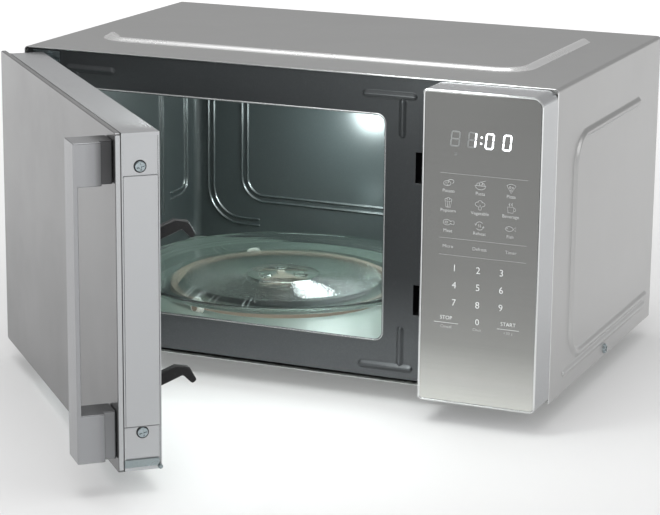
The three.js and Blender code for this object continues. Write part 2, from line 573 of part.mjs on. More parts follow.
// ---- turntable ----------------------------------------------------------------------------
const { x: TX, y: TY } = TABLE;
const trayTop = TRAY.z0 + TRAY.base;
piece(oven, 'glass_tray', 'paleGlass', join(
  turned([
    [0, TRAY.z0], [110, TRAY.z0], [119, TRAY.z0 + 1.6], [125.5, TRAY.z0 + 5.4],
    [TRAY.r, TRAY.rim - 1], [TRAY.r, TRAY.rim], [TRAY.r - 2.6, TRAY.rim],
    [TRAY.r - 5.5, trayTop + 2.2], [TRAY.r - 12, trayTop + 0.4], [108, trayTop], [0, trayTop]],
  TX, TY, 48),
  ...around(3, TX, TY, 60, () => block(TX + 13, TX + 22, TY - 3, TY + 3, 47, TRAY.z0 + 1))));

piece(oven, 'drive_coupler', 'whitePlastic', join(
  rod('z', TX, TY, TRACK.z + 1, TRAY.z0 - 0.5, 10, 24, 9),
  rod('z', TX, TY, 29, TRACK.z + 2, 3.5, 16),
  ...around(3, TX, TY, 0, () => block(TX, TX + 21, TY - 3.4, TY + 3.4, 43.5, TRAY.z0 - 0.5))));

const RING = { r0: 87, r1: 92.5, z0: ROLLER.z - 2.5, z1: ROLLER.z + 2.5, axle: 1.5 };
const wheelEdge = ROLLER.track + ROLLER.width / 2;
piece(oven, 'roller_ring', 'beigePlastic', join(
  turned([[RING.r0, RING.z0], [RING.r1, RING.z0], [RING.r1, RING.z1], [RING.r0, RING.z1],
    [RING.r0, RING.z0]], TX, TY, 40),
  ...around(3, TX, TY, ROLLER.phase, () => join(
    rod('x', TY, ROLLER.z, TX + RING.r1 - 2, TX + wheelEdge + 1, RING.axle, 12),
    rod('x', TY, ROLLER.z, TX + wheelEdge + 0.5, TX + wheelEdge + 1.7, 2.6, 12)))));

for (let i = 0; i < 3; i += 1) {
  const spoke = new THREE.Group();
  spoke.position.set(TX, TY, 0);
  spoke.rotation.z = THREE.MathUtils.degToRad(ROLLER.phase + 120 * i);
  oven.add(spoke);
  piece(spoke, `roller_wheel_${i + 1}`, 'whitePlastic', cut(
    rod('x', 0, ROLLER.z, ROLLER.track - ROLLER.width / 2, wheelEdge, ROLLER.r, 24),
    rod('x', 0, ROLLER.z, ROLLER.track - 5, wheelEdge + 5, RING.axle + 0.4, 12)));
}

// ---- fan blade ----------------------------------------------------------------------------
function fanBlade() {
  const hub = join(rod('y', 0, 0, 252.5, 266, 13, 24), rod('y', 0, 0, 236, 254, 2, 12));
  const blades = [];
  for (let i = 0; i < 5; i += 1) {
    const vane = block(10, FAN.blade, -0.8, 0.8, -13, 13);
    blades.push(vane.rotate([36, 0, 0]).translate([0, 259.5, 0]).rotate([0, 72 * i, 0]));
  }
  return cut(join(hub, ...blades), cut(
    block(-70, 70, 250, 270, -70, 70), rod('y', 0, 0, 249, 271, FAN.blade, 32)));
}
piece(oven, 'fan_blade', 'whitePlastic', fanBlade().translate([FAN.x, 0, FAN.z]));

// The origin is below the centre of the whole oven, door as it stands.
const centre = new THREE.Box3().setFromObject(oven).getCenter(new THREE.Vector3());
oven.position.set(-centre.x, -centre.y, 0);

export default oven;
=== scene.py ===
import math

import bpy
from mathutils import Matrix, Vector


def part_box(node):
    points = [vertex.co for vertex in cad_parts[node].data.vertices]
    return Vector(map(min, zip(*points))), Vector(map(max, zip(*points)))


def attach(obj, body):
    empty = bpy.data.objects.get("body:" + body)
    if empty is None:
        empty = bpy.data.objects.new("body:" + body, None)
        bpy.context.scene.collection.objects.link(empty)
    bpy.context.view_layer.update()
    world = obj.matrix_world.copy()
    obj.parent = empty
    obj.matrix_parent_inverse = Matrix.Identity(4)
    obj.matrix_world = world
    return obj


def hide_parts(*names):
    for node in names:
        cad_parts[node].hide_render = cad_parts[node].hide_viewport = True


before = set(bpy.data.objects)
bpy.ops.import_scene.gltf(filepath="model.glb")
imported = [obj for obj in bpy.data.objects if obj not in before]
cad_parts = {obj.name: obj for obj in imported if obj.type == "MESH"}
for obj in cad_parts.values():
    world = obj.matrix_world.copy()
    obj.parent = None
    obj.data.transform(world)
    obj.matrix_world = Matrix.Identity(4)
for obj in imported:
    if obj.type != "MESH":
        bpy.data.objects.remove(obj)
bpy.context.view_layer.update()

# A countertop microwave oven with its door part open.
# Millimetres: x from the cover's left side, y back from its front edge, z up from the table.
MM = 0.001
COVER_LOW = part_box("outer_cover")[0]
COVER_BOTTOM, COVER_TOP, WIDTH, REAR_FACE = 16, 253.2, 440, 271.8
FRAME_FACE, PANEL_FACE = 4, -33.4
OPENING = (20, 304, 48.7, 222)  # left, right, bottom, top
CAVITY = (20, 304, 263, 43.7, 224)  # left, right, back, bottom, top
TABLE = (164, 134)  # the turntable's axis
HINGE = (17.2, -6.5)
DOOR_ANGLE = math.radians(-47.2)
MERGE_DISTANCE = 0.000002
X, Y, Z = Vector((1, 0, 0)), Vector((0, 1, 0)), Vector((0, 0, 1))


def at(x, y, z):
    return Vector((COVER_LOW.x + x * MM, COVER_LOW.y + y * MM,
                   COVER_LOW.z + (z - COVER_BOTTOM) * MM))


# ---- camera ----
def set_camera(place, looks, up, lens):
    bpy.ops.object.camera_add(location=place)
    camera = bpy.context.object
    camera.name = "camera"
    back = -Vector(looks).normalized()
    right = Vector(up).cross(back).normalized()
    camera.rotation_euler = Matrix((right, back.cross(right), back)).transposed().to_euler()
    camera.data.lens = lens
    camera.data.sensor_width = 36
    camera.data.clip_start = 0.05
    bpy.context.scene.camera = camera


set_camera(at(953.063, -1636.169, 560.05), (-0.37675527, 0.89308794, -0.2458646),
           (-0.10481213, 0.22261755, 0.9692553), 131.41)


# ---- places on the oven's faces ----
FACES = {"top": (X, Y, Z), "right": (Y, Z, X), "left": (-Y, Z, -X), "front": (X, Z, -Y),
         "rear": (-X, Z, Y)}


def face(name, x=0, y=0, z=0):
    """A drawing board in millimetres that lies on a face, its third axis pointing outwards."""
    across, upward, out = FACES[name]
    board = Matrix((across, upward, out)).transposed().to_4x4()
    return Matrix.Translation(at(x, y, z)) @ board @ Matrix.Scale(MM, 4)


HINGE_POINT = at(HINGE[0], HINGE[1], 0)
DOOR_SWING = (Matrix.Translation(HINGE_POINT) @ Matrix.Rotation(DOOR_ANGLE, 4, "Z")
              @ Matrix.Translation(-HINGE_POINT))


# ---- workshop helpers ----
def pick(*pieces):
    bpy.ops.object.select_all(action="DESELECT")
    for piece in pieces:
        piece.select_set(True)
    bpy.context.view_layer.objects.active = pieces[0]


def settle(piece, place=None):
    """Writes the piece's place into its mesh."""
    if place is not None:
        piece.matrix_world = place @ piece.matrix_world
    pick(piece)
    bpy.ops.object.transform_apply(location=True, rotation=True, scale=True)
    return piece


def apply_modifier(piece, kind, **settings):
    modifier = piece.modifiers.new(kind.title(), kind)
    for key, value in settings.items():
        setattr(modifier, key, value)
    pick(piece)
    bpy.ops.object.modifier_apply(modifier=modifier.name)
    return piece


def smooth(piece, degrees=38):
    pick(piece)
    bpy.ops.object.shade_smooth_by_angle(angle=math.radians(degrees))
    return piece


def soften(piece, width, segments=2, degrees=40):
    """Rounds every sharp edge by a width in millimetres."""
    apply_modifier(piece, "BEVEL", width=width * MM, segments=segments, limit_method="ANGLE",
                   angle_limit=math.radians(degrees), harden_normals=False)
    smooth(piece, degrees)
    return apply_modifier(piece, "WEIGHTED_NORMAL", keep_sharp=True)


def block(name, x, y, z):
    """A box from three (low, high) pairs in millimetres."""
    low, high = at(x[0], y[0], z[0]), at(x[1], y[1], z[1])
    bpy.ops.mesh.primitive_cube_add(size=1, location=(low + high) / 2, scale=high - low)
    piece = bpy.context.object
    piece.name = name
    return settle(piece)


def rod(name, place, radius, low, high, sides=32, taper=1.0):
    """A round bar on a drawing board, from low to high along its outward axis."""
    bpy.ops.mesh.primitive_cone_add(vertices=sides, radius1=radius, radius2=radius * taper,
                                    depth=high - low, location=(0, 0, (low + high) / 2))
    piece = bpy.context.object
    piece.name = name
    return settle(piece, place)


def joined(name, pieces):
    pick(*pieces)
    if len(pieces) > 1:
        bpy.ops.object.join()
    pieces[0].name = name
    return pieces[0]


def cut(piece, *tools, operation="DIFFERENCE"):
    for tool in tools:
        apply_modifier(piece, "BOOLEAN", object=tool, operation=operation, solver="EXACT")
        pick(tool)
        bpy.ops.object.delete()
    return piece


def edit_all(piece, *steps):
    """Runs edit-mode steps on the whole mesh."""
    pick(piece)
    bpy.ops.object.mode_set(mode="EDIT")
    bpy.ops.mesh.select_all(action="SELECT")
    for step in steps:
        step()
    bpy.ops.object.mode_set(mode="OBJECT")
    return piece


def merge():
    bpy.ops.mesh.remove_doubles(threshold=MERGE_DISTANCE)


def outward():
    bpy.ops.mesh.normals_make_consistent(inside=False)


def select_faces(piece, wanted):
    """Selects the faces whose centre and normal pass a test, in edit mode."""
    pick(piece)
    bpy.ops.object.mode_set(mode="EDIT")
    bpy.ops.mesh.select_mode(type="FACE")
    bpy.ops.mesh.select_all(action="DESELECT")
    bpy.ops.object.mode_set(mode="OBJECT")
    for polygon in piece.data.polygons:
        polygon.select = wanted(polygon.center, polygon.normal)
    bpy.ops.object.mode_set(mode="EDIT")


def press(piece, wanted, border, move):
    """Insets some faces by a border and moves what is inside it."""
    select_faces(piece, wanted)
    bpy.ops.mesh.inset(thickness=border)
    bpy.ops.transform.translate(value=move)
    bpy.ops.object.mode_set(mode="OBJECT")


def drawn(name, path, closed=False):
    """A line through points in millimetres, on the ground plane."""
    bpy.ops.curve.primitive_nurbs_path_add()
    line = bpy.context.object
    line.name = name
    line.data.splines.clear()
    spline = line.data.splines.new("POLY")
    spline.points.add(len(path) - 1)
    for point, (u, v) in zip(spline.points, path):
        point.co = (u, v, 0, 1)
    spline.use_cyclic_u = closed
    line.data.twist_mode = "Z_UP"
    line.data.use_fill_caps = True
    return line


def to_mesh(line):
    pick(line)
    bpy.ops.object.convert(target="MESH")
    return bpy.context.object


def rounded(corners, radii, closed=False, steps=8):
    """The path through some corners, with each corner turned in an arc."""
    path = []
    for i, corner in enumerate(corners):
        corner = Vector(corner)
        radius = radii[i] if isinstance(radii, (list, tuple)) else radii
        if not closed and i in (0, len(corners) - 1):
            path.append(tuple(corner))
            continue
        before = (Vector(corners[i - 1]) - corner).normalized()
        after = (Vector(corners[(i + 1) % len(corners)]) - corner).normalized()
        half = before.angle(after) / 2
        centre = corner + (before + after).normalized() * radius / math.sin(half)
        first = corner + before * radius / math.tan(half) - centre
        last = corner + after * radius / math.tan(half) - centre
        turn = first.angle_signed(last)
        for k in range(steps + 1):
            arm = first.copy()
            arm.rotate(Matrix.Rotation(-turn * k / steps, 2))
            path.append(tuple(centre + arm))
    return path


def arc(cx, cy, rx, ry, start, end, steps=14):
    angles = [math.radians(start + (end - start) * k / steps) for k in range(steps + 1)]
    return [(cx + rx * math.cos(a), cy + ry * math.sin(a)) for a in angles]


def ring(cx, cy, radius):
    return arc(cx, cy, radius, radius, 0, 360)


SWELL_STEPS, FADE_STEPS = 12, 6
SUNK, ROOT, END_SIZE = -0.08, -0.5, 0.12


def bead(name, path, place, width, height, closed=False, fade=1.0):
    """A pressed rib: a low rounded swell that runs along a path and fades out at its ends."""
    half = width / 2
    swell = [(-half + width * k / SWELL_STEPS,
              height * (1 - math.cos(2 * math.pi * k / SWELL_STEPS)) / 2 + SUNK)
             for k in range(SWELL_STEPS + 1)]
    section = drawn("section", swell + [(half, ROOT), (-half, ROOT)], closed=True)
    section.data.dimensions = "2D"
    if not closed:
        path = [Vector(p) for p in path]
        first = (path[1] - path[0]).normalized() * half * fade
        last = (path[-2] - path[-1]).normalized() * half * fade
        stops = [k / FADE_STEPS for k in range(FADE_STEPS + 1)]
        path = ([path[0] + first * s for s in stops] + path[1:-1]
                + [path[-1] + last * s for s in reversed(stops)])
    line = drawn(name, [tuple(p) for p in path], closed)
    if not closed:
        points = line.data.splines[0].points
        for k in range(FADE_STEPS + 1):
            size = max(math.sqrt(1 - (1 - k / FADE_STEPS) ** 2), END_SIZE)
            points[k].radius = points[len(points) - 1 - k].radius = size
    line.data.bevel_mode = "OBJECT"
    line.data.bevel_object = section
    rib = to_mesh(line)
    pick(section)
    bpy.ops.object.delete()
    settle(rib, place)
    edit_all(rib, merge, outward)
    return smooth(rib, 50)


def ink(strokes, place, width=0.34, thick=0.05):
    """Thin printed lines on a drawing board."""
    lines = []
    for path in strokes:
        shut = len(path) > 3 and (Vector(path[0]) - Vector(path[-1])).length < 0.02
        line = drawn("stroke", path[:-1] if shut else path, shut)
        line.data.bevel_depth = width / 2
        line.data.bevel_resolution = 1
        mark = to_mesh(line)
        mark.scale.z = 2 * thick / width
        lines.append(settle(mark, place))
    return lines


def lettering(text, u, v, size, place, thick=0.05, align="CENTER"):
    bpy.ops.object.text_add(location=(u, v, 0))
    words = bpy.context.object
    words.data.body = text
    words.data.size = size
    words.data.extrude = thick
    words.data.resolution_u = 3
    words.data.offset = -0.006 * size
    words.data.align_x = align
    words.data.align_y = "CENTER"
    pick(words)
    bpy.ops.object.convert(target="MESH")
    return settle(bpy.context.object, place)


def turned(name, profile, centre, steps=96, closed=True):
    """A profile of (radius, height) points spun round a vertical axis."""
    line = drawn(name, profile, closed)
    line.data.use_fill_caps = False
    shape = to_mesh(line)
    upright = Matrix((X, Z, -Y)).transposed().to_4x4()
    settle(shape, Matrix.Translation(at(centre[0], centre[1], 0)) @ upright @ Matrix.Scale(MM, 4))
    return edit_all(
        shape,
        lambda: bpy.ops.mesh.spin(steps=steps, angle=2 * math.pi, axis=(0, 0, 1),
                                  center=at(centre[0], centre[1], 0)),
        lambda: bpy.ops.mesh.select_all(action="SELECT"), merge, outward)


def taken_from(node, name, round_by=0.3, segments=2, degrees=40):
    """A copy of a CAD solid with its edges rounded; it stands for that solid."""
    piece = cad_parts[node].copy()
    piece.data = piece.data.copy()
    bpy.context.collection.objects.link(piece)
    for key in list(piece.keys()):
        del piece[key]
    piece.parent = None
    piece.matrix_world = Matrix.Identity(4)
    piece.name = name
    piece.data.materials.clear()
    pick(piece)
    bpy.ops.mesh.customdata_custom_splitnormals_clear()
    edit_all(piece, merge,
             lambda: bpy.ops.mesh.dissolve_limited(angle_limit=math.radians(0.8)))
    if round_by:
        soften(piece, round_by, segments, degrees)
    else:
        smooth(piece, degrees)
    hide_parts(node)
    return piece


def place_piece(piece, body, material, slot=None):
    """Puts a finish on a piece, and has it ride a body; the slot argument is not used."""
    piece.data.materials.clear()
    piece.data.materials.append(MATERIALS[material])
    slot = slot or material
    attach(piece, body)


# ---- surface effects that several finishes share ----
def effect_group(name, settings, outputs):
    """A node group that takes a place and some settings, and gives out some numbers."""
    group = bpy.data.node_groups.new(name, "ShaderNodeTree")
    group.interface.new_socket("Vector", in_out="INPUT", socket_type="NodeSocketVector")
    for label, value in settings.items():
        kind = "NodeSocketVector" if isinstance(value, tuple) else "NodeSocketFloat"
        group.interface.new_socket(label, in_out="INPUT", socket_type=kind).default_value = value
    for label in outputs:
        group.interface.new_socket(label, in_out="OUTPUT", socket_type="NodeSocketFloat")
    return group, group.nodes.new("NodeGroupInput"), group.nodes.new("NodeGroupOutput")


def wire(tree, source, target):
    tree.links.new(source, target)


def give(tree, socket, value):
    """Wires another node's output to a socket, or writes a plain value there."""
    if hasattr(value, "links"):
        wire(tree, value, socket)
    else:
        socket.default_value = value


def number(tree, operation, first, second, clamp=False):
    node = tree.nodes.new("ShaderNodeMath")
    node.operation = operation
    node.use_clamp = clamp
    for socket, value in zip(node.inputs, (first, second)):
        give(tree, socket, value)
    return node.outputs[0]


def noise(tree, vector, scale, detail=3.0, roughness=0.55):
    node = tree.nodes.new("ShaderNodeTexNoise")
    wire(tree, vector, node.inputs["Vector"])
    give(tree, node.inputs["Scale"], scale)
    node.inputs["Detail"].default_value = detail
    node.inputs["Roughness"].default_value = roughness
    return node.outputs["Fac"]


def vector_step(tree, operation, vector, other=None):
    node = tree.nodes.new("ShaderNodeVectorMath")
    node.operation = operation
    wire(tree, vector, node.inputs[0])
    if other is not None:
        node.inputs[1].default_value = other
    return node


def mapped(tree, value, from_min=0.0, from_max=1.0, to_min=0.0, to_max=1.0):
    node = tree.nodes.new("ShaderNodeMapRange")
    limits = {"From Min": from_min, "From Max": from_max, "To Min": to_min, "To Max": to_max}
    for label, limit in limits.items():
        node.inputs[label].default_value = limit
    wire(tree, value, node.inputs["Value"])
    return node.outputs["Result"]


def relief(tree, height, strength, distance):
    node = tree.nodes.new("ShaderNodeBump")
    node.inputs["Strength"].default_value = strength
    node.inputs["Distance"].default_value = distance
    wire(tree, height, node.inputs["Height"])
    return node.outputs["Normal"]


def make_metal_flake():
    """Fine sparkle and orange peel of sprayed paint or lacquer."""
    group, given, made = effect_group("sprayed_flake", {"Flake Scale": 2500, "Peel Scale": 300},
                                      ("Flake", "Height"))
    flake = group.nodes.new("ShaderNodeTexVoronoi")
    wire(group, given.outputs["Vector"], flake.inputs["Vector"])
    wire(group, given.outputs["Flake Scale"], flake.inputs["Scale"])
    tone = number(group, "MULTIPLY", flake.outputs["Distance"], 1.3, clamp=True)
    wire(group, tone, made.inputs["Flake"])
    peel = noise(group, given.outputs["Vector"], given.outputs["Peel Scale"], 2)
    wire(group, number(group, "ADD", number(group, "MULTIPLY", tone, 0.3), peel),
         made.inputs["Height"])
    return group


def make_brushed():
    """Long fine lines along one direction."""
    group, given, made = effect_group("brushed_lines", {"Scale": 900, "Along": (1, 1, 0.02)},
                                      ("Lines",))
    stretch = vector_step(group, "MULTIPLY", given.outputs["Vector"])
    wire(group, given.outputs["Along"], stretch.inputs[1])
    wire(group, noise(group, stretch.outputs[0], given.outputs["Scale"], 2, 0.6),
         made.inputs["Lines"])
    return group


def make_handling():
    """Faint smudges, dust and rubbed patches."""
    group, given, made = effect_group("handling", {"Scale": 12, "Dust Scale": 260},
                                      ("Smudge", "Dust"))
    cloud = noise(group, given.outputs["Vector"], given.outputs["Scale"], 4, 0.6)
    wire(group, mapped(group, cloud, 0.35, 0.7), made.inputs["Smudge"])
    specks = noise(group, given.outputs["Vector"], given.outputs["Dust Scale"], 2, 0.7)
    wire(group, mapped(group, specks, 0.58, 0.8), made.inputs["Dust"])
    return group


FLAKE, BRUSHED, HANDLING = make_metal_flake(), make_brushed(), make_handling()


def use_group(tree, group, vector, **values):
    node = tree.nodes.new("ShaderNodeGroup")
    node.node_tree = group
    wire(tree, vector, node.inputs["Vector"])
    for label, value in values.items():
        node.inputs[label.replace("_", " ")].default_value = value
    return node


def blend_colours(tree, amount, first, second, kind="MIX"):
    node = tree.nodes.new("ShaderNodeMix")
    node.data_type = "RGBA"
    node.blend_type = kind
    for index, value in ((0, amount), (6, first), (7, second)):
        give(tree, node.inputs[index], (*value, 1) if isinstance(value, tuple) else value)
    return node.outputs[2]


def shades(tree, value, stops):
    """A colour ramp of (position, grey or colour) stops."""
    ramp = tree.nodes.new("ShaderNodeValToRGB")
    ramp.color_ramp.interpolation = "EASE" if len(stops) < 3 else "LINEAR"
    while len(ramp.color_ramp.elements) < len(stops):
        ramp.color_ramp.elements.new(0.5)
    for element, (position, tone) in zip(ramp.color_ramp.elements, stops):
        element.position = position
        element.color = (*(tone if isinstance(tone, tuple) else (tone,) * 3), 1)
    wire(tree, value, ramp.inputs["Fac"])
    return ramp.outputs["Color"]


def share_of_height(tree, vector, low, high):
    """0 at a low height and 1 at a high one, in millimetres above the table."""
    parts = tree.nodes.new("ShaderNodeSeparateXYZ")
    wire(tree, vector, parts.inputs[0])
    return mapped(tree, parts.outputs["Z"], at(0, 0, low).z, at(0, 0, high).z)


def share_of_depth(tree, vector, near, far):
    """0 near the open door's outer face and 1 further out from it, in millimetres."""
    outward_from_door = (DOOR_SWING.to_3x3() @ -Y).normalized()
    start = (DOOR_SWING @ at(0, PANEL_FACE, 0)).dot(outward_from_door)
    along = vector_step(tree, "DOT_PRODUCT", vector, outward_from_door)
    return mapped(tree, along.outputs["Value"], start + near * MM, start + far * MM)


MATERIALS = {}
GRAIN_DEPTH = 0.0004
DUST_COLOUR = (0.6, 0.6, 0.58)
SMUDGE_SCALE = 12
# spans of the painted light and shade ramps: heights for the ramps by height, and the grip's
# heights and depths for its painted shade
TONED_HEIGHTS, GRIP_HEIGHTS, GRIP_DEPTHS = (16, 254), (30, 230), (0, 28)


def finish(name, colour, rub, metallic=0.0, rough=(0.35, 0.5), flake=0.25, flake_scale=2500,
           peel=300, bump=0.02, dust=0.15, lines=None, line_tone=0.1, coat=0.0,
           coat_rough=0.08, painted_light_by_height=None, painted_shade_by_depth=None, glow=0.0, clear=0.0, ior=1.45,
           specular=0.5):
    """Adds a finish with its own colour, rubbed tone, grain, sheen and dust to MATERIALS.

    lines is (scale, direction); the height and depth ramps are stops from the low or
    near end of a span to its high or far end, and they multiply painted light and shade into the
    colour.
    """
    material = bpy.data.materials.new(name)
    material.use_nodes = True
    tree = material.node_tree
    shader = tree.nodes["Principled BSDF"]
    vector = tree.nodes.new("ShaderNodeTexCoord").outputs["Object"]
    grain = use_group(tree, FLAKE, vector, Flake_Scale=flake_scale, Peel_Scale=peel)
    worn = use_group(tree, HANDLING, vector, Scale=SMUDGE_SCALE)
    rubbed = number(tree, "MULTIPLY", grain.outputs["Flake"], flake)
    dusty = number(tree, "MULTIPLY", worn.outputs["Dust"], dust)
    tone = blend_colours(tree, dusty, blend_colours(tree, rubbed, colour, rub), DUST_COLOUR)
    if lines:
        strokes = use_group(tree, BRUSHED, vector, Scale=lines[0], Along=lines[1])
        shade = shades(tree, strokes.outputs["Lines"], [(0.3, 1 - line_tone), (0.7, 1.0)])
        tone = blend_colours(tree, 1.0, tone, shade, "MULTIPLY")
    # painted light and shade: the colour is multiplied by a ramp by height
    if painted_light_by_height:
        shade = shades(tree, share_of_height(tree, vector, *TONED_HEIGHTS), painted_light_by_height)
        tone = blend_colours(tree, 1.0, tone, shade, "MULTIPLY")
    # painted shade on the grip: darker next to the door's face, at full strength at the top and
    # weaker lower down
    if painted_shade_by_depth:
        strength = number(tree, "MULTIPLY_ADD", share_of_height(tree, vector, *GRIP_HEIGHTS), 0.6)
        strength.node.inputs[2].default_value = 0.4
        shade = shades(tree, share_of_depth(tree, vector, *GRIP_DEPTHS), painted_shade_by_depth)
        tone = blend_colours(tree, strength, tone, shade, "MULTIPLY")
    wire(tree, tone, shader.inputs["Base Color"])
    wire(tree, mapped(tree, worn.outputs["Smudge"], 0, 1, *rough), shader.inputs["Roughness"])
    wire(tree, relief(tree, grain.outputs["Height"], bump, GRAIN_DEPTH), shader.inputs["Normal"])
    plain = {"Metallic": metallic, "Coat Weight": coat, "Coat Roughness": coat_rough,
             "Transmission Weight": clear, "IOR": ior, "Specular IOR Level": specular}
    for label, value in plain.items():
        shader.inputs[label].default_value = value
    if glow:
        wire(tree, tone, shader.inputs["Emission Color"])
        shader.inputs["Emission Strength"].default_value = glow
    MATERIALS[name] = material
    return material


STIPPLE_SCALE, GLASS_REACH = 620, 0.13


def pressed_glass():
    """Green-tinted pressed glass: a stippled floor and a ribbed border round the turntable."""
    material = finish("pressed_glass", (0.92, 0.985, 0.955), (0.87, 0.965, 0.925),
                      rough=(0.02, 0.06), flake=0.5, dust=0.04, bump=0.02, clear=1.0, ior=1.2,
                      coat=1.0, coat_rough=0.04)
    tree = material.node_tree
    shader = tree.nodes["Principled BSDF"]
    centred = tree.nodes.new("ShaderNodeMapping")
    centred.inputs["Location"].default_value = -at(*TABLE, COVER_BOTTOM)
    wire(tree, tree.nodes.new("ShaderNodeTexCoord").outputs["Object"], centred.inputs["Vector"])
    dots = tree.nodes.new("ShaderNodeTexVoronoi")
    dots.inputs["Scale"].default_value = STIPPLE_SCALE
    wire(tree, centred.outputs[0], dots.inputs["Vector"])
    flat = vector_step(tree, "MULTIPLY", centred.outputs[0], (1, 1, 0))
    away = vector_step(tree, "LENGTH", flat.outputs["Vector"])
    band = shades(tree, number(tree, "DIVIDE", away.outputs["Value"], GLASS_REACH),
                  [(0.2, 0.0), (0.23, 1.0), (0.6, 1.0), (0.64, 0.0), (0.86, 0.0), (0.88, 0.8),
                   (0.94, 0.8), (0.96, 0.0)])
    frost = number(tree, "MULTIPLY",
                   shades(tree, dots.outputs["Distance"], [(0.25, 1.0), (0.5, 0.25)]), band)
    wire(tree, mapped(tree, frost, 0, 1, 0.03, 0.26), shader.inputs["Roughness"])
    stipple = relief(tree, number(tree, "MULTIPLY", dots.outputs["Distance"], band), 0.26, 0.0005)
    for label in ("Normal", "Coat Normal"):
        wire(tree, stipple, shader.inputs[label])


# how a grain's lines run: scales along x, y and z
UPRIGHT, LEVEL = (1, 1, 0.02), (0.02, 1, 1)
# silver_paint carries painted light: lighter towards the bottom of the oven and darker towards the
# top
finish("silver_paint", (0.455, 0.455, 0.452), (0.41, 0.41, 0.408), 0.75, (0.31, 0.345), flake=0.5,
       flake_scale=2800, bump=0.006, dust=0.0, painted_light_by_height=[(0.0, 1.14), (0.25, 1.08),
           (1.0, 0.85)])
# ridge_highlight_paint is the silver paint painted lighter: a painted highlight along the top rib
finish("ridge_highlight_paint", (0.72, 0.72, 0.717), (0.66, 0.66, 0.658), 0.75, (0.26, 0.3), flake=0.3,
       flake_scale=2800, bump=0.01, dust=0.0)
# mirror_panel's ramp by height is a painted reflection: light at the bottom, dark towards the top
finish("mirror_panel", (1.0, 1.0, 0.99), (0.93, 0.94, 0.94), 0.9, (0.16, 0.22), flake=0.4,
       flake_scale=3500, bump=0.01, dust=0.03, lines=(700, LEVEL), line_tone=0.03,
       painted_light_by_height=[(0.0, (0.66, 0.66, 0.63)), (0.07, (0.52, 0.52, 0.50)),
           (0.2, (0.31, 0.31, 0.30)), (0.45, (0.24, 0.24, 0.235)), (0.8, (0.19, 0.19, 0.187)),
           (1.0, (0.16, 0.16, 0.157))])
# mirror_door is the panel's mirror film painted darker, with painted shade towards the bottom
finish("mirror_door", (0.245, 0.245, 0.247), (0.222, 0.222, 0.224), 0.85, (0.2, 0.27), flake=0.4,
       flake_scale=3500, bump=0.01, dust=0.03, lines=(700, LEVEL), line_tone=0.03,
       painted_light_by_height=[(0.0, 0.7), (0.3, 0.82), (0.6, 1.0), (1.0, 0.93)])
finish("silver_plastic", (0.49, 0.50, 0.51), (0.42, 0.43, 0.44), 0.8, (0.2, 0.27), flake=0.45,
       flake_scale=3000, bump=0.03, dust=0.04)
# grip_shaded_lacquer is the silver plastic painted darker, with painted shade on the grip next to
# the door
finish("grip_shaded_lacquer", (0.345, 0.35, 0.36), (0.29, 0.295, 0.305), 0.8, (0.2, 0.27), flake=0.45,
       flake_scale=3000, bump=0.03, dust=0.04, painted_shade_by_depth=[(0.0, 0.12), (0.3, 0.2), (0.5, 0.8),
           (0.75, 1.0)])
# edge_glint_metal is a bright metal standing for painted highlights along edges
finish("edge_glint_metal", (0.75, 0.76, 0.76), (0.66, 0.67, 0.67), 1.0, (0.15, 0.24), flake=0.3,
       bump=0.02, dust=0.03)
# charcoal_paint carries painted light: lighter towards the bottom of the frame, darker above
finish("charcoal_paint", (0.080, 0.087, 0.092), (0.13, 0.137, 0.143), 0.6, (0.28, 0.38),
       flake=0.8, flake_scale=2200, bump=0.05, dust=0.03, painted_light_by_height=[(0.0, 0.9), (0.14, 0.8),
           (0.35, 0.36), (1.0, 0.44)])
# rim_glint_paint is the frame paint painted lighter: a painted highlight on the opening's rolled
# edge
finish("rim_glint_paint", (0.5, 0.51, 0.51), (0.42, 0.43, 0.43), 0.8, (0.2, 0.3), flake=0.3, bump=0.02,
       dust=0.03)
finish("cavity_enamel", (0.026, 0.033, 0.034), (0.05, 0.06, 0.06), 0.35, (0.17, 0.27), flake=0.5,
       flake_scale=1800, bump=0.02, dust=0.01, coat=0.8, coat_rough=0.36)
# floor_enamel_lit is the cavity enamel painted lighter where the floor is lit: painted light
finish("floor_enamel_lit", (0.105, 0.13, 0.117), (0.14, 0.17, 0.15), 0.2, (0.3, 0.36), flake=0.4,
       flake_scale=1800, bump=0.02, dust=0.0, coat=0.2, coat_rough=0.2)
finish("galvanised", (0.44, 0.47, 0.45), (0.56, 0.58, 0.56), 0.9, (0.35, 0.55), flake=0.9,
       flake_scale=140, peel=120, bump=0.04, dust=0.1)
finish("black_plastic", (0.010, 0.010, 0.011), (0.02, 0.02, 0.02), 0.0, (0.38, 0.5), flake=0.6,
       flake_scale=1500, bump=0.08, dust=0.02, specular=0.2)
pressed_glass()
finish("window_glass", (0.5, 0.52, 0.52), (0.45, 0.47, 0.47), rough=(0.03, 0.08), flake=0.3,
       bump=0.004, dust=0.03, clear=1.0, ior=1.5)
finish("bulb_glass", (0.95, 0.97, 1.0), (0.9, 0.92, 0.95), rough=(0.02, 0.06), flake=0.3,
       bump=0.004, dust=0.02, clear=1.0, ior=1.5)
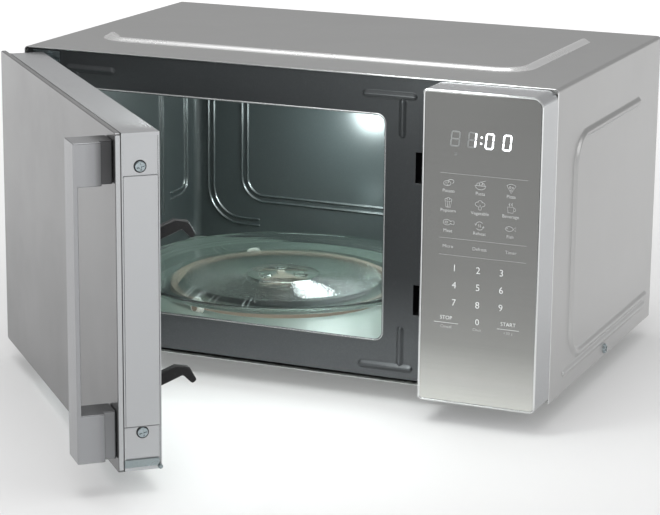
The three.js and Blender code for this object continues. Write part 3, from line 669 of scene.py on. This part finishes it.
# beige_plastic carries a faint painted glow
finish("beige_plastic", (0.27, 0.215, 0.175), (0.22, 0.175, 0.14), 0.0, (0.4, 0.55), flake=0.5,
       flake_scale=1500, bump=0.1, dust=0.03, glow=0.05)
finish("hub_plastic", (0.30, 0.25, 0.21), (0.24, 0.2, 0.165), 0.0, (0.35, 0.5), flake=0.4,
       flake_scale=1600, bump=0.08, dust=0.1)
finish("white_plastic", (0.80, 0.79, 0.75), (0.72, 0.71, 0.67), 0.0, (0.35, 0.5), flake=0.4,
       flake_scale=1600, bump=0.08, dust=0.1)
finish("foot_rubber", (0.02, 0.02, 0.02), (0.05, 0.05, 0.048), 0.0, (0.6, 0.8), flake=0.7,
       flake_scale=900, bump=0.3, dust=0.3)
finish("screw_steel", (0.40, 0.46, 0.48), (0.3, 0.35, 0.37), 1.0, (0.16, 0.26), flake=0.5,
       flake_scale=1200, bump=0.05, dust=0.05)
finish("zinc", (0.34, 0.39, 0.40), (0.24, 0.28, 0.29), 1.0, (0.2, 0.34), flake=0.5,
       flake_scale=1200, bump=0.05, dust=0.05)
finish("mica", (0.42, 0.36, 0.26), (0.55, 0.48, 0.36), 0.1, (0.35, 0.6), flake=0.9,
       flake_scale=160, bump=0.2, dust=0.1)
finish("winding", (0.5, 0.18, 0.05), (0.3, 0.09, 0.03), 0.6, (0.25, 0.4), flake=0.5,
       lines=(500, LEVEL), line_tone=0.5, bump=0.2, dust=0.1)
finish("aluminium", (0.7, 0.71, 0.72), (0.6, 0.61, 0.62), 1.0, (0.3, 0.45), lines=(600, LEVEL),
       line_tone=0.15, bump=0.04, dust=0.1)
finish("lamination", (0.20, 0.20, 0.21), (0.12, 0.12, 0.13), 0.8, (0.4, 0.6),
       lines=(900, UPRIGHT), line_tone=0.5, bump=0.2, dust=0.2)
finish("board", (0.30, 0.34, 0.12), (0.22, 0.26, 0.08), 0.0, (0.4, 0.55), flake=0.7,
       flake_scale=400, bump=0.1, dust=0.2)
finish("ceramic", (0.75, 0.73, 0.68), (0.65, 0.62, 0.57), 0.0, (0.3, 0.5), flake=0.5,
       flake_scale=700, bump=0.15, dust=0.15)
finish("print_ink", (0.66, 0.67, 0.67), (0.6, 0.61, 0.61), 0.0, (0.4, 0.55), flake=0.3, bump=0.03,
       dust=0.02)
finish("faint_ink", (0.42, 0.425, 0.425), (0.38, 0.385, 0.385), 0.0, (0.4, 0.55), flake=0.3,
       bump=0.03, dust=0.02)
finish("unlit_digit", (0.19, 0.195, 0.195), (0.18, 0.185, 0.185), 0.3, (0.3, 0.4), flake=0.3,
       bump=0.02, dust=0.02)
finish("lit_digit", (0.95, 0.98, 1.0), (0.9, 0.95, 1.0), 0.0, (0.4, 0.5), flake=0.3, bump=0.01,
       dust=0.0, glow=1.4)


# ---- case: sheet-metal cover, base and rear ----
def case_piece(piece, material, slot=None):
    place_piece(piece, "case", material, slot)


case_piece(taken_from("outer_cover", "cover_sheet", 0.22), "silver_paint")
case_piece(taken_from("base_plate", "base_sheet", 0.2), "galvanised")
case_piece(taken_from("rear_panel", "rear_sheet", 0.25), "silver_paint")

TOP_RIB = rounded([(36, 82), (44, 57), (391.5, 57), (391.5, 221)], 20)
# the top rib wears the painted highlight paint; its slot is the silver paint
case_piece(bead("cover_top_rib", TOP_RIB, face("top", z=COVER_TOP), 12.5, 2.8),
           "ridge_highlight_paint", "silver_paint")
# a thin bright bead along the cover's front edge: a painted highlight on silver paint
HEM = rounded([(3.5, 252.8), (439.6, 252.8), (439.6, 17)], 2.8)
case_piece(bead("cover_front_hem_glint", HEM, face("front"), 1.1, 0.35, fade=0.2),
           "edge_glint_metal", "silver_paint")

# side, its x, which way its board runs, and where its upper rib ends
SIDES = (("right", WIDTH, 1, 217), ("left", 0, -1, 168))
LOW_RIB = [(31, 30.8), (256, 30.8)]
for side, x, flip, end in SIDES:
    tall_rib = rounded([(end, 208.9), (47.5, 208.9), (47.5, 38.5), (258, 38.5)], 24)
    ribs = [bead("rib", [(flip * u, v) for u, v in path], face(side, x=x), width, height)
            for path, width, height in ((tall_rib, 9, 2.4), (LOW_RIB, 8, 1.6))]
    case_piece(joined(f"cover_{side}_ribs", ribs), "silver_paint")

REAR_RIB = rounded([(-300, 30), (-300, 118), (-30, 118), (-30, 30)], 12)
case_piece(bead("rear_rib", REAR_RIB, face("rear", y=REAR_FACE), 8, 0.9), "silver_paint")


def cross_screw(name, place, radius, height):
    """A pan-head screw with a cross recess, standing on a drawing board."""
    head = rod(name, Matrix.Identity(4), radius, -0.3, height, 32, 0.86)
    press(head, lambda centre, normal: normal.z > 0.9, radius * 0.18, (0, 0, height * 0.12))
    arms = []
    for wide, deep in ((radius * 1.4, radius * 0.3), (radius * 0.3, radius * 1.4)):
        bpy.ops.mesh.primitive_cube_add(size=1, location=(0, 0, height * 0.8),
                                        scale=(wide, deep, height * 1.3))
        arms.append(settle(bpy.context.object))
    cut(head, *arms)
    apply_modifier(head, "BEVEL", width=radius * 0.06, segments=2, limit_method="ANGLE",
                   angle_limit=math.radians(30))
    settle(head, place)
    return smooth(head, 40)


def spot(board, u, v, spin=0):
    return board @ Matrix.Translation((u, v, 0)) @ Matrix.Rotation(math.radians(spin), 4, "Z")


rear_board = face("rear", y=REAR_FACE)
REAR_SCREWS = [(-14, 240), (-220, 246), (-426, 240), (-426, 30), (-220, 26), (-14, 30)]
case_piece(joined("rear_screws", [cross_screw("screw", spot(rear_board, u, v, 20 * i), 3.4, 1.5)
                                  for i, (u, v) in enumerate(REAR_SCREWS)]), "zinc")
for side, x, flip, _ in SIDES:
    board = spot(face(side, x=x), flip * 141.9, 21.8)
    screw = cross_screw("screw", spot(board, 0, 0, 25), 4.2, 1.6)
    collar = rod("collar", board, 1.5, -6, 0.2, 16)
    screw = joined(f"side_screw_head_{side}", [screw, collar])
    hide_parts(f"side_screw_{side}")
    case_piece(screw, "screw_steel", "zinc")

for corner in ("front_left", "front_right", "rear_left", "rear_right"):
    node = f"foot_{corner}"
    low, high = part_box(node)
    middle = ((low + high) / 2 - at(0, 0, 0)) / MM
    foot = turned(f"rubber_foot_{corner}", [
        (0, 2.2), (4, 2.2), (4.6, 0.6), (5.4, 0), (9.2, 0), (10.2, 0.5), (10.7, 1.4), (10.9, 4),
        (10.4, 4.6), (10.4, 5.2), (11.1, 5.8), (11.9, 12.4), (12, 13.2), (12, 16.2), (0, 16.2)],
        (middle.x, middle.y), 40)
    smooth(foot, 45)
    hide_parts(node)
    case_piece(foot, "foot_rubber")

case_piece(taken_from("cord_gland", "gland_bush", 0.7, 3), "black_plastic")


# ---- front frame ----
case_piece(taken_from("front_frame", "front_frame_sheet", 0.3), "charcoal_paint")
front = face("front", y=FRAME_FACE)
X0, X1, Z0, Z1 = OPENING
EDGE = rounded([(X0 - 1, Z0 - 1), (X1 + 1, Z0 - 1), (X1 + 1, Z1 + 1), (X0 - 1, Z1 + 1)], 7,
               closed=True)
FRAME_RIBS = ([(286, 237.8), (330, 237.8)], [(318.7, 236.5), (318.7, 206)],
              [(285, 28), (330, 28)], [(319.5, 29.4), (319.5, 61)], [(34, 237.8), (78, 237.8)],
              [(44, 236.5), (44, 226.5)], [(34, 28), (78, 28)])
LOW_CORNER_RIB = 5
frame_ribs = [bead("rib", path, front, 7.5, 1.1 if i == LOW_CORNER_RIB else 2.3)
              for i, path in enumerate(FRAME_RIBS)]
case_piece(joined("front_frame_ribs", frame_ribs), "charcoal_paint")
# the opening's rolled edge is a real bead; its lighter finish is a painted highlight
case_piece(bead("opening_edge", EDGE, front, 1.5, 0.5, closed=True),
           "rim_glint_paint", "charcoal_paint")
for name in ("top", "bottom"):
    case_piece(taken_from(f"hinge_bracket_{name}", f"hinge_bracket_{name}_plate", 0.25), "zinc")


# ---- oven cavity ----
def cavity_liner():
    x0, x1, back, z0, z1 = CAVITY
    liner = block("cavity_liner", (x0, x1), (5.1, back), (z0 + 0.3, z1))
    select_faces(liner, lambda centre, normal: normal.y < -0.9 or normal.z < -0.9)
    bpy.ops.mesh.delete(type="FACE")
    bpy.ops.object.mode_set(mode="OBJECT")
    apply_modifier(liner, "BEVEL", width=7 * MM, segments=5, limit_method="ANGLE",
                   angle_limit=math.radians(60))
    edit_all(liner, outward)
    apply_modifier(liner, "SOLIDIFY", thickness=0.8 * MM, offset=1)
    right_wall, left_wall = face("right", x=x1 - 3), face("right", x=x0 - 3)
    holes = [rod("hole", spot(right_wall, 205 + dy, 197 + dz), 1.8, 0, 6, 10)
             for dy in (-9, -3, 3, 9) for dz in (-6, 0, 6)]
    holes += [rod("hole", spot(left_wall, 206 + 7 * i, z), 2, 0, 6, 10)
              for i in range(6) for z in (196, 204)]
    cut(liner, joined("holes", holes))
    return smooth(liner, 40)


liner = cavity_liner()
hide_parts("cavity_shell")
case_piece(liner, "cavity_enamel")
case_piece(taken_from("cavity_floor", "cavity_floor_sheet", 0.25), "floor_enamel_lit", "cavity_enamel")

back_wall = face("front", y=CAVITY[2])
left_wall = face("right", x=CAVITY[0])
right_wall = face("left", x=CAVITY[1])
wall_ribs = []
for d in (-2.7, 2.7):
    for wall, corners, bend, height in (
            (back_wall, [(36 + d, 222), (36 + d, 62 + d), (84, 62 + d)], 30 - d, 1.3),
            (back_wall, [(69 + d, 222), (69 + d, 84 + d), (298, 84 + d)], 19 - d, 1.3),
            (left_wall, [(197 + d, 221), (197 + d, 76)], 1, 1.2),
            (left_wall, [(244 + d, 221), (244 + d, 90 - d), (214, 90 - d)], 12 + d, 1.2),
            (right_wall, [(-244 - d, 184), (-244 - d, 90 - d), (-40, 90 - d)], 12 + d, 1.2)):
        wall_ribs.append(bead("ridge", rounded(corners, bend), wall, 2.6, height))
case_piece(joined("cavity_wall_ribs", wall_ribs), "cavity_enamel")
case_piece(taken_from("waveguide_cover", "mica_sheet", 0.15), "mica")
case_piece(taken_from("lamp_bulb", "lamp_glass", 0), "bulb_glass")


# ---- control panel ----
bulkhead = block("panel_bulkhead", (352, 438.6), (0.6, 1.4), (17.6, 252.0))
press(bulkhead, lambda centre, normal: abs(normal.y) > 0.9, 9 * MM, (0, 0.3 * MM, 0))
case_piece(soften(bulkhead, 0.2), "silver_paint")
case_piece(taken_from("control_panel_frame", "panel_housing", 0.5, 3), "silver_plastic")
case_piece(taken_from("control_panel_glass", "panel_glass", 0.45, 3), "mirror_panel")
panel = face("front", y=PANEL_FACE)
# a thin bright bead round the panel: a painted highlight along its edges
OUTLINE_GLINT_PATH = rounded([(349.3, 18.9), (439.2, 18.9), (439.2, 251.5), (349.3, 251.5)],
               [3, 4, 7.3, 3], closed=True)
case_piece(bead("panel_outline_glint", OUTLINE_GLINT_PATH, panel, 1.5, 0.35, closed=True), "edge_glint_metal", "silver_plastic")


def segment(width, length):
    """One bar of a seven-segment figure, pointed at both ends, on the ground plane."""
    bpy.ops.mesh.primitive_plane_add(size=1)
    bar = bpy.context.object
    bar.scale = (length - width, width, 1)
    settle(bar)
    for end in (1, -1):
        edge_x = end * (length - width) / 2
        pick(bar)
        bpy.ops.object.mode_set(mode="EDIT")
        bpy.ops.mesh.select_mode(type="EDGE")
        bpy.ops.mesh.select_all(action="DESELECT")
        bpy.ops.object.mode_set(mode="OBJECT")
        verts = bar.data.vertices
        for edge in bar.data.edges:
            edge.select = all(abs(verts[i].co.x - edge_x) < 1e-4 for i in edge.vertices)
        bpy.ops.object.mode_set(mode="EDIT")
        bpy.ops.mesh.extrude_region_move(
            TRANSFORM_OT_translate={"value": (end * width / 2, 0, 0)})
        bpy.ops.mesh.merge(type="CENTER")
        bpy.ops.object.mode_set(mode="OBJECT")
    edit_all(bar, lambda: bpy.ops.mesh.extrude_region_move(
        TRANSFORM_OT_translate={"value": (0, 0, 0.06)}),
        lambda: bpy.ops.mesh.select_all(action="SELECT"), outward)
    return bar


FIGURES = {"0": "abcdef", "1": "bc", "8": "abcdefg", "unlit 1": "adefg"}


def figure(digit, u, v, wide, tall, bar_width, slant=0.09):
    """A seven-segment figure with its lower left corner at (u, v)."""
    half = tall / 2
    bars = {"a": (wide / 2, tall, 0), "g": (wide / 2, half, 0), "d": (wide / 2, 0, 0),
            "b": (wide, half * 1.5, 1), "c": (wide, half * 0.5, 1),
            "f": (0, half * 1.5, 1), "e": (0, half * 0.5, 1)}
    made = []
    for key in FIGURES[digit]:
        x, y, standing = bars[key]
        bar = segment(bar_width, (half if standing else wide) * 0.97)
        bar.matrix_world = (Matrix.Translation((u + x + y * slant, v + y, 0))
                            @ Matrix.Rotation(math.pi / 2 - slant if standing else 0, 4, "Z"))
        made.append(settle(bar, panel))
    return made


CLOCK_BASE = 212.3
lit = []
for digit, u in (("1", 383.6), ("0", 396.9), ("0", 410.2)):
    lit += figure(digit, u, CLOCK_BASE, 5.4, 10.8, 1.25)
lit += [rod("colon", spot(panel, 393.3 + 0.09 * dv, CLOCK_BASE + dv), 0.8, 0, 0.06, 16)
        for dv in (3.2, 7.8)]
case_piece(joined("display_time", lit), "lit_digit", "white_plastic")
ghost = figure("8", 370.4, CLOCK_BASE, 6.2, 10.6, 1.1)
ghost += figure("unlit 1", 383.6, CLOCK_BASE, 5.4, 10.8, 1.0)
ghost += ink([ring(374.5, 206.4, 1.1), ring(374.5, 206.4, 0.5)], panel, 0.25)
case_piece(joined("display_unlit_figure", ghost), "unlit_digit", "mirror_panel")


def moved(strokes, u, v, size=1.0):
    return [[(u + x * size, v + y * size) for x, y in path] for path in strokes]


def wave(x, y, height, turns=1.5, size=0.5):
    return [(x + size * math.sin(2 * math.pi * turns * k / 10), y + height * k / 10)
            for k in range(11)]


ICONS = {
    "potato": [arc(-1.2, -0.4, 3.0, 1.9, 0, 360), arc(1.8, 1.2, 2.4, 1.6, -60, 170),
               ring(-2.2, -0.2, 0.25), ring(-0.4, 0.3, 0.25),
               ring(-1.0, -1.2, 0.25)],
    "pasta": [arc(0, 0, 4.2, 3.0, 180, 360), [(-4.6, 0), (4.6, 0)],
              arc(-1.8, 0.2, 1.4, 2.0, 0, 180), arc(0.4, 0.2, 1.6, 2.9, 0, 180),
              arc(2.2, 0.2, 1.3, 1.8, 0, 180), [(0.6, 3.0), (4.0, 4.2)]],
    "pizza": [[(-3.6, 2.2), (0, -3.6), (3.6, 2.2)], arc(0, -1.6, 5.2, 5.2, 45, 135),
              ring(-1.0, 1.1, 0.7), ring(1.2, 0.7, 0.6),
              ring(0, -1.2, 0.6)],
    "popcorn": [[(-2.6, 1.0), (-1.8, -3.6), (1.8, -3.6), (2.6, 1.0), (-2.6, 1.0)],
                [(-0.9, 0.9), (-0.6, -3.5)], [(0.9, 0.9), (0.6, -3.5)],
                arc(-1.7, 2.0, 1.1, 1.1, 10, 240), arc(0, 2.8, 1.2, 1.2, -20, 200),
                arc(1.7, 2.0, 1.1, 1.1, -60, 170)],
    "vegetable": [arc(-2.2, 1.0, 1.7, 1.6, 60, 280), arc(0, 2.3, 1.9, 1.6, 0, 180),
                  arc(2.2, 1.0, 1.7, 1.6, -100, 120),
                  [(-1.5, -0.6), (-0.8, -3.4), (0.8, -3.4), (1.5, -0.6)], [(0, 0.8), (0, -1.4)]],
    "beverage": [[(-2.8, 1.2), (-2.2, -3.2), (1.8, -3.2), (2.4, 1.2), (-2.8, 1.2)],
                 arc(2.4, -0.7, 1.5, 1.3, -90, 90), wave(-1.2, 2.0, 2.4), wave(0.8, 2.0, 2.4)],
    "meat": [arc(-0.8, 0.3, 3.0, 2.2, 20, 340), [(2.0, 1.0), (3.9, 1.9)],
             [(2.0, -0.4), (3.9, -1.3)],
             arc(-1.2, 0.3, 1.1, 0.8, 0, 360), arc(4.3, 0.3, 0.8, 1.7, -80, 80)],
    "reheat": [arc(0, 0, 3.2, 3.2, 40, 170), arc(0, 0, 3.2, 3.2, 220, 350),
               [(-3.9, 1.4), (-3.2, 0.2), (-2.2, 1.3)], [(3.9, -1.4), (3.2, -0.2), (2.2, -1.3)],
               wave(-0.7, -1.2, 2.4, 1, 0.35), wave(0.7, -1.2, 2.4, 1, 0.35)],
    "fish": [arc(-0.8, -1.5, 3.6, 3.4, 25, 155), arc(-0.8, 1.5, 3.6, 3.4, -155, -25),
             [(2.4, 0), (4.4, 1.8), (4.4, -1.8), (2.4, 0)], ring(-2.6, 0.4, 0.25)],
}
COLUMNS = (369.6, 394.0, 417.4)
ICON_ROWS = (184.6, 170.0, 155.0)
LABELS = (("Micro", 370, 137.4, 3.5), ("Defrost", 394.4, 137.4, 3.5),
          ("Timer", 418.3, 137.4, 3.5), ("STOP", 369.8, 83.4, 4.0), ("START", 417.8, 83.4, 4.0),
          ("Cancel", 369.8, 76.7, 3.2), ("+30 s", 417.8, 76.7, 3.2), ("Clock", 394, 76.7, 2.9))
SMALLEST_BRIGHT_TEXT = 3.9
printing, faint = [], []
for index, (key, strokes) in enumerate(ICONS.items()):
    u, v = COLUMNS[index % 3], ICON_ROWS[index // 3]
    faint += ink(moved(strokes, u, v, 0.95), panel, 0.30)
    faint.append(lettering(key.capitalize(), u, v - 5.9, 3.5, panel))
for text, u, v, size in LABELS:
    kind = printing if size > SMALLEST_BRIGHT_TEXT else faint
    kind.append(lettering(text, u, v, size, panel))
for row, figures in zip((121.3, 108.4, 95.2), ("123", "456", "789")):
    for u, text in zip((375.5, 393.8, 411.7), figures):
        printing.append(lettering(text, u, row, 7.2, panel))
printing.append(lettering("0", 394, 82.4, 6.6, panel))
printing += ink([[(360.5, 79.6), (379.3, 79.6)], [(409.4, 79.6), (426.3, 79.6)]], panel, 0.28)
faint += ink([[(363, v), (430, v)] for v in (191.8, 143.6, 131)], panel, 0.16)
case_piece(joined("panel_printing", printing), "print_ink", "white_plastic")
case_piece(joined("panel_faint_printing", faint), "faint_ink", "white_plastic")


# ---- door ----
def door_piece(piece, material, slot=None):
    place_piece(piece, "door", material, slot)


door_piece(taken_from("door_front_panel", "door_skin", 0.7, 3), "mirror_door", "mirror_panel")
door_piece(taken_from("door_frame", "door_body", 0.45, 3), "silver_plastic")
door_piece(taken_from("door_edge_strip", "door_end_strip", 0.3, 2), "silver_plastic")
door_piece(taken_from("door_inner_frame", "door_steel_pan", 0.3), "galvanised")
door_piece(taken_from("door_choke_cover", "door_choke_plate", 0.5, 3), "black_plastic")
door_piece(taken_from("door_window", "door_window_pane", 0.3), "window_glass")
door_piece(taken_from("door_handle", "door_grip", 0.8, 4), "grip_shaded_lacquer", "silver_plastic")
# thin black strips in the seams round the door skin: painted shade in the gaps
seams = [block("seam", (14.4, 346.9), (-29.5, -28.7), z) for z in ((248.5, 250.0), (15.9, 17.4))]
for seam in seams:
    apply_modifier(seam, "BEVEL", width=0.15 * MM, segments=2)
    settle(seam, DOOR_SWING)
seams.append(settle(block("seam", (346.0, 347.58), (-29.4, -4.6), (47.2, 47.42)), DOOR_SWING))
# a darker block across the foot of the door's end: painted shade standing for the hollow behind it
hollow = block("door_end_hollow_shade", (345.0, 347.57), (-29.2, -4.8), (18.6, 24.0))
soften(hollow, 0.2)
door_piece(settle(hollow, DOOR_SWING), "zinc", "silver_plastic")
door_piece(joined("door_skin_seam_shade", seams), "black_plastic")
# a lighter strip on the skin's side return: painted light on that face
skin_edge = block("door_skin_return_light", (346.9, 347.65), (-33.0, -29.9), (17.4, 248.6))
soften(skin_edge, 0.25, 3)
door_piece(settle(skin_edge, DOOR_SWING), "silver_plastic")
stud = rod("door_lip_stud", spot(face("right", x=346.9), -4.2, 17.8), 1.7, 0, 1.9, 24, 0.94)
press(stud, lambda centre, normal: normal.x > 0.9, 0.7 * MM, (-0.6 * MM, 0, 0))
door_piece(smooth(settle(stud, DOOR_SWING)), "zinc")
for name in ("top", "bottom"):
    door_piece(taken_from(f"hinge_pin_{name}", f"hinge_rod_{name}", 0.4), "zinc")

for name, z in (("top", 226.9), ("bottom", 42.9)):
    board = DOOR_SWING @ spot(face("right", x=346.2), -16.1, z, 12)
    screw = cross_screw(f"door_end_screw_head_{name}", board, 4.0, 1.0)
    shank = rod("shank", board, 1.6, -8, 0, 16)
    # a black disc round each screw head: painted shadow of its countersunk recess
    shadow_ring = rod(f"door_end_screw_shadow_ring_{name}", board, 4.35, -0.3, 0.12, 40)
    door_piece(smooth(shadow_ring), "black_plastic")
    screw = joined(f"door_end_screw_head_{name}", [screw, shank])
    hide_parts(f"door_end_screw_{name}")
    door_piece(screw, "screw_steel", "zinc")

place_piece(taken_from("latch_hook", "latch_hook_plate", 1.5, 4), "latch", "black_plastic")


# ---- turntable ----
def tray():
    rim, base, top = 59.5, 50.3, 54.3
    x, y = TABLE
    profile = [(0, base), (109, base), (115, base + 0.7), (120, base + 2.2), (124, base + 4.6),
               (127.2, base + 7.4), (127.5, rim - 0.5), (127.1, rim), (125.6, rim),
               (124.9, rim - 0.6), (122.6, top + 2.6), (119.4, top + 1.2), (117.4, top + 1.5),
               (115.6, top + 0.6), (113.4, top + 0.9), (111.6, top + 0.1), (108, top),
               (31.5, top), (30.2, top + 0.7), (28.6, top + 0.1), (0, top + 0.1)]
    plate = turned("glass_plate", profile, TABLE, 128)
    centre = Matrix.Translation(at(x, y, 0))
    parts = []
    for i in range(3):
        lug = block("lug", (x + 12.5, x + 22), (y - 3.4, y + 3.4), (top - 1, top + 1.6))
        apply_modifier(lug, "BEVEL", width=1.1 * MM, segments=3)
        under = block("lug", (x + 13, x + 22), (y - 3, y + 3), (47, base + 0.6))
        apply_modifier(under, "BEVEL", width=0.6 * MM, segments=2)
        for part, turn in ((lug, 0), (under, 60)):
            spin = Matrix.Rotation(math.radians(turn + 120 * i), 4, "Z")
            parts.append(settle(part, centre @ spin @ centre.inverted()))
    cut(plate, *parts, operation="UNION")
    return smooth(plate, 35)


plate = tray()
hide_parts("glass_tray")
plate.visible_shadow = False
place_piece(plate, "turntable", "pressed_glass", "tray_glass")
place_piece(taken_from("drive_coupler", "coupler_hub", 0.5, 2), "turntable",
            "hub_plastic", "white_plastic")
place_piece(taken_from("roller_ring", "roller_ring_band", 0.5, 2), "ring", "beige_plastic")
for i in (1, 2, 3):
    place_piece(taken_from(f"roller_wheel_{i}", f"roller_tyre_{i}", 0.6, 2), f"roller_{i}",
                "white_plastic")


# ---- working parts behind the sheet metal ----
INNER_FINISHES = {
    "waveguide": "galvanised", "lamp_socket": "ceramic", "thermal_cutout": "black_plastic",
    "magnetron_body": "aluminium", "magnetron_antenna": "ceramic",
    "transformer_core": "lamination", "transformer_primary_coil": "winding",
    "transformer_secondary_coil": "winding", "capacitor": "aluminium",
    "capacitor_clamp": "galvanised", "hv_diode": "black_plastic", "fan_shroud": "black_plastic",
    "fan_motor": "lamination", "fan_blade": "white_plastic", "line_filter_board": "board",
    "latch_board": "black_plastic", "door_switch_primary": "black_plastic",
    "door_switch_monitor": "black_plastic", "door_switch_secondary": "black_plastic",
    "display_module": "black_plastic", "control_board": "board", "turntable_motor": "zinc",
}
for node, material in INNER_FINISHES.items():
    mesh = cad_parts[node].data
    for index in range(len(mesh.materials)):
        mesh.materials[index] = MATERIALS[material]


# ---- studio ----
def soft_light(name, place, target, size, power, colour=(1, 1, 1)):
    bpy.ops.object.light_add(type="AREA", location=place)
    lamp = bpy.context.object
    lamp.name = name
    lamp.rotation_euler = (Vector(target) - Vector(place)).to_track_quat("-Z", "Y").to_euler()
    lamp.data.shape = "RECTANGLE"
    lamp.data.size, lamp.data.size_y = size
    lamp.data.energy = power
    lamp.data.color = colour
    return lamp


middle = (0, 0, 0.12)
soft_light("overhead_softbox", (-0.2, -0.1, 2.4), middle, (1.6, 1.6), 28)
soft_light("front_softbox", (0.5, -2.9, 1.9), middle, (3.0, 2.0), 55).visible_glossy = False
soft_light("side_softbox", (2.4, 0.6, 1.2), middle, (1.2, 1.2), 8)
# the oven's own lamp, and the light that its walls throw back
LAMP_COLOUR = (0.88, 1.0, 1.0)
for name, place, power, radius in (("oven_lamp", at(296, 205, 200), 1.6, 0.008),
                                   ("lamp_bounce", at(172, 214, 156), 0.5, 0.02),
                                   ("port_bounce", at(192, 249, 98), 0.035, 0.01)):
    bpy.ops.object.light_add(type="POINT", location=place)
    lamp = bpy.context.object
    lamp.name = name
    lamp.visible_camera = False
    lamp.visible_glossy = name != "port_bounce"
    lamp.data.energy = power
    lamp.data.shadow_soft_size = radius
    lamp.data.color = LAMP_COLOUR
soft_light("cavity_bounce", at(190, 130, 222), at(190, 130, 40), (0.22, 0.16), 0.55,
           (0.93, 1.0, 0.98)).visible_camera = False
soft_light("opening_fill", at(290, -180, 300), at(170, 130, 50), (0.16, 0.1), 0.5,
           (0.95, 1.0, 0.98)).visible_camera = False

# the paper under the oven glows more with distance: painted light, weaker near the oven so that
# the floor there shows painted shadow
bpy.ops.mesh.primitive_plane_add(size=40, location=(0, 0, 0))
floor = bpy.context.object
floor.name = "studio_floor"
paper = bpy.data.materials.new("studio_paper")
paper.use_nodes = True
tree = paper.node_tree
sheen = tree.nodes["Principled BSDF"]
for label, value in {"Base Color": (0.58, 0.58, 0.58, 1), "Emission Color": (1, 1, 1, 1),
                     "Roughness": 0.7, "Specular IOR Level": 0.1}.items():
    sheen.inputs[label].default_value = value
far = vector_step(tree, "LENGTH", tree.nodes.new("ShaderNodeTexCoord").outputs["Object"])
wire(tree, mapped(tree, far.outputs["Value"], 0.35, 2.2, 0.17, 0.75),
     sheen.inputs["Emission Strength"])
floor.data.materials.append(paper)

world = bpy.data.worlds.new("studio")
bpy.context.scene.world = world
world.use_nodes = True
sky = world.node_tree
background = sky.nodes["Background"]
heading = sky.nodes.new("ShaderNodeSeparateXYZ")
wire(sky, sky.nodes.new("ShaderNodeTexCoord").outputs["Generated"], heading.inputs[0])
dome = shades(sky, heading.outputs["Z"], [(0.0, 0.8), (0.1, 0.5), (0.4, 0.42), (1.0, 0.55)])
seen = sky.nodes.new("ShaderNodeLightPath").outputs["Is Camera Ray"]
wire(sky, blend_colours(sky, seen, dome, (1, 1, 1)), background.inputs["Color"])
background.inputs["Strength"].default_value = 1.0
bpy.context.scene.view_settings.view_transform = "Standard"
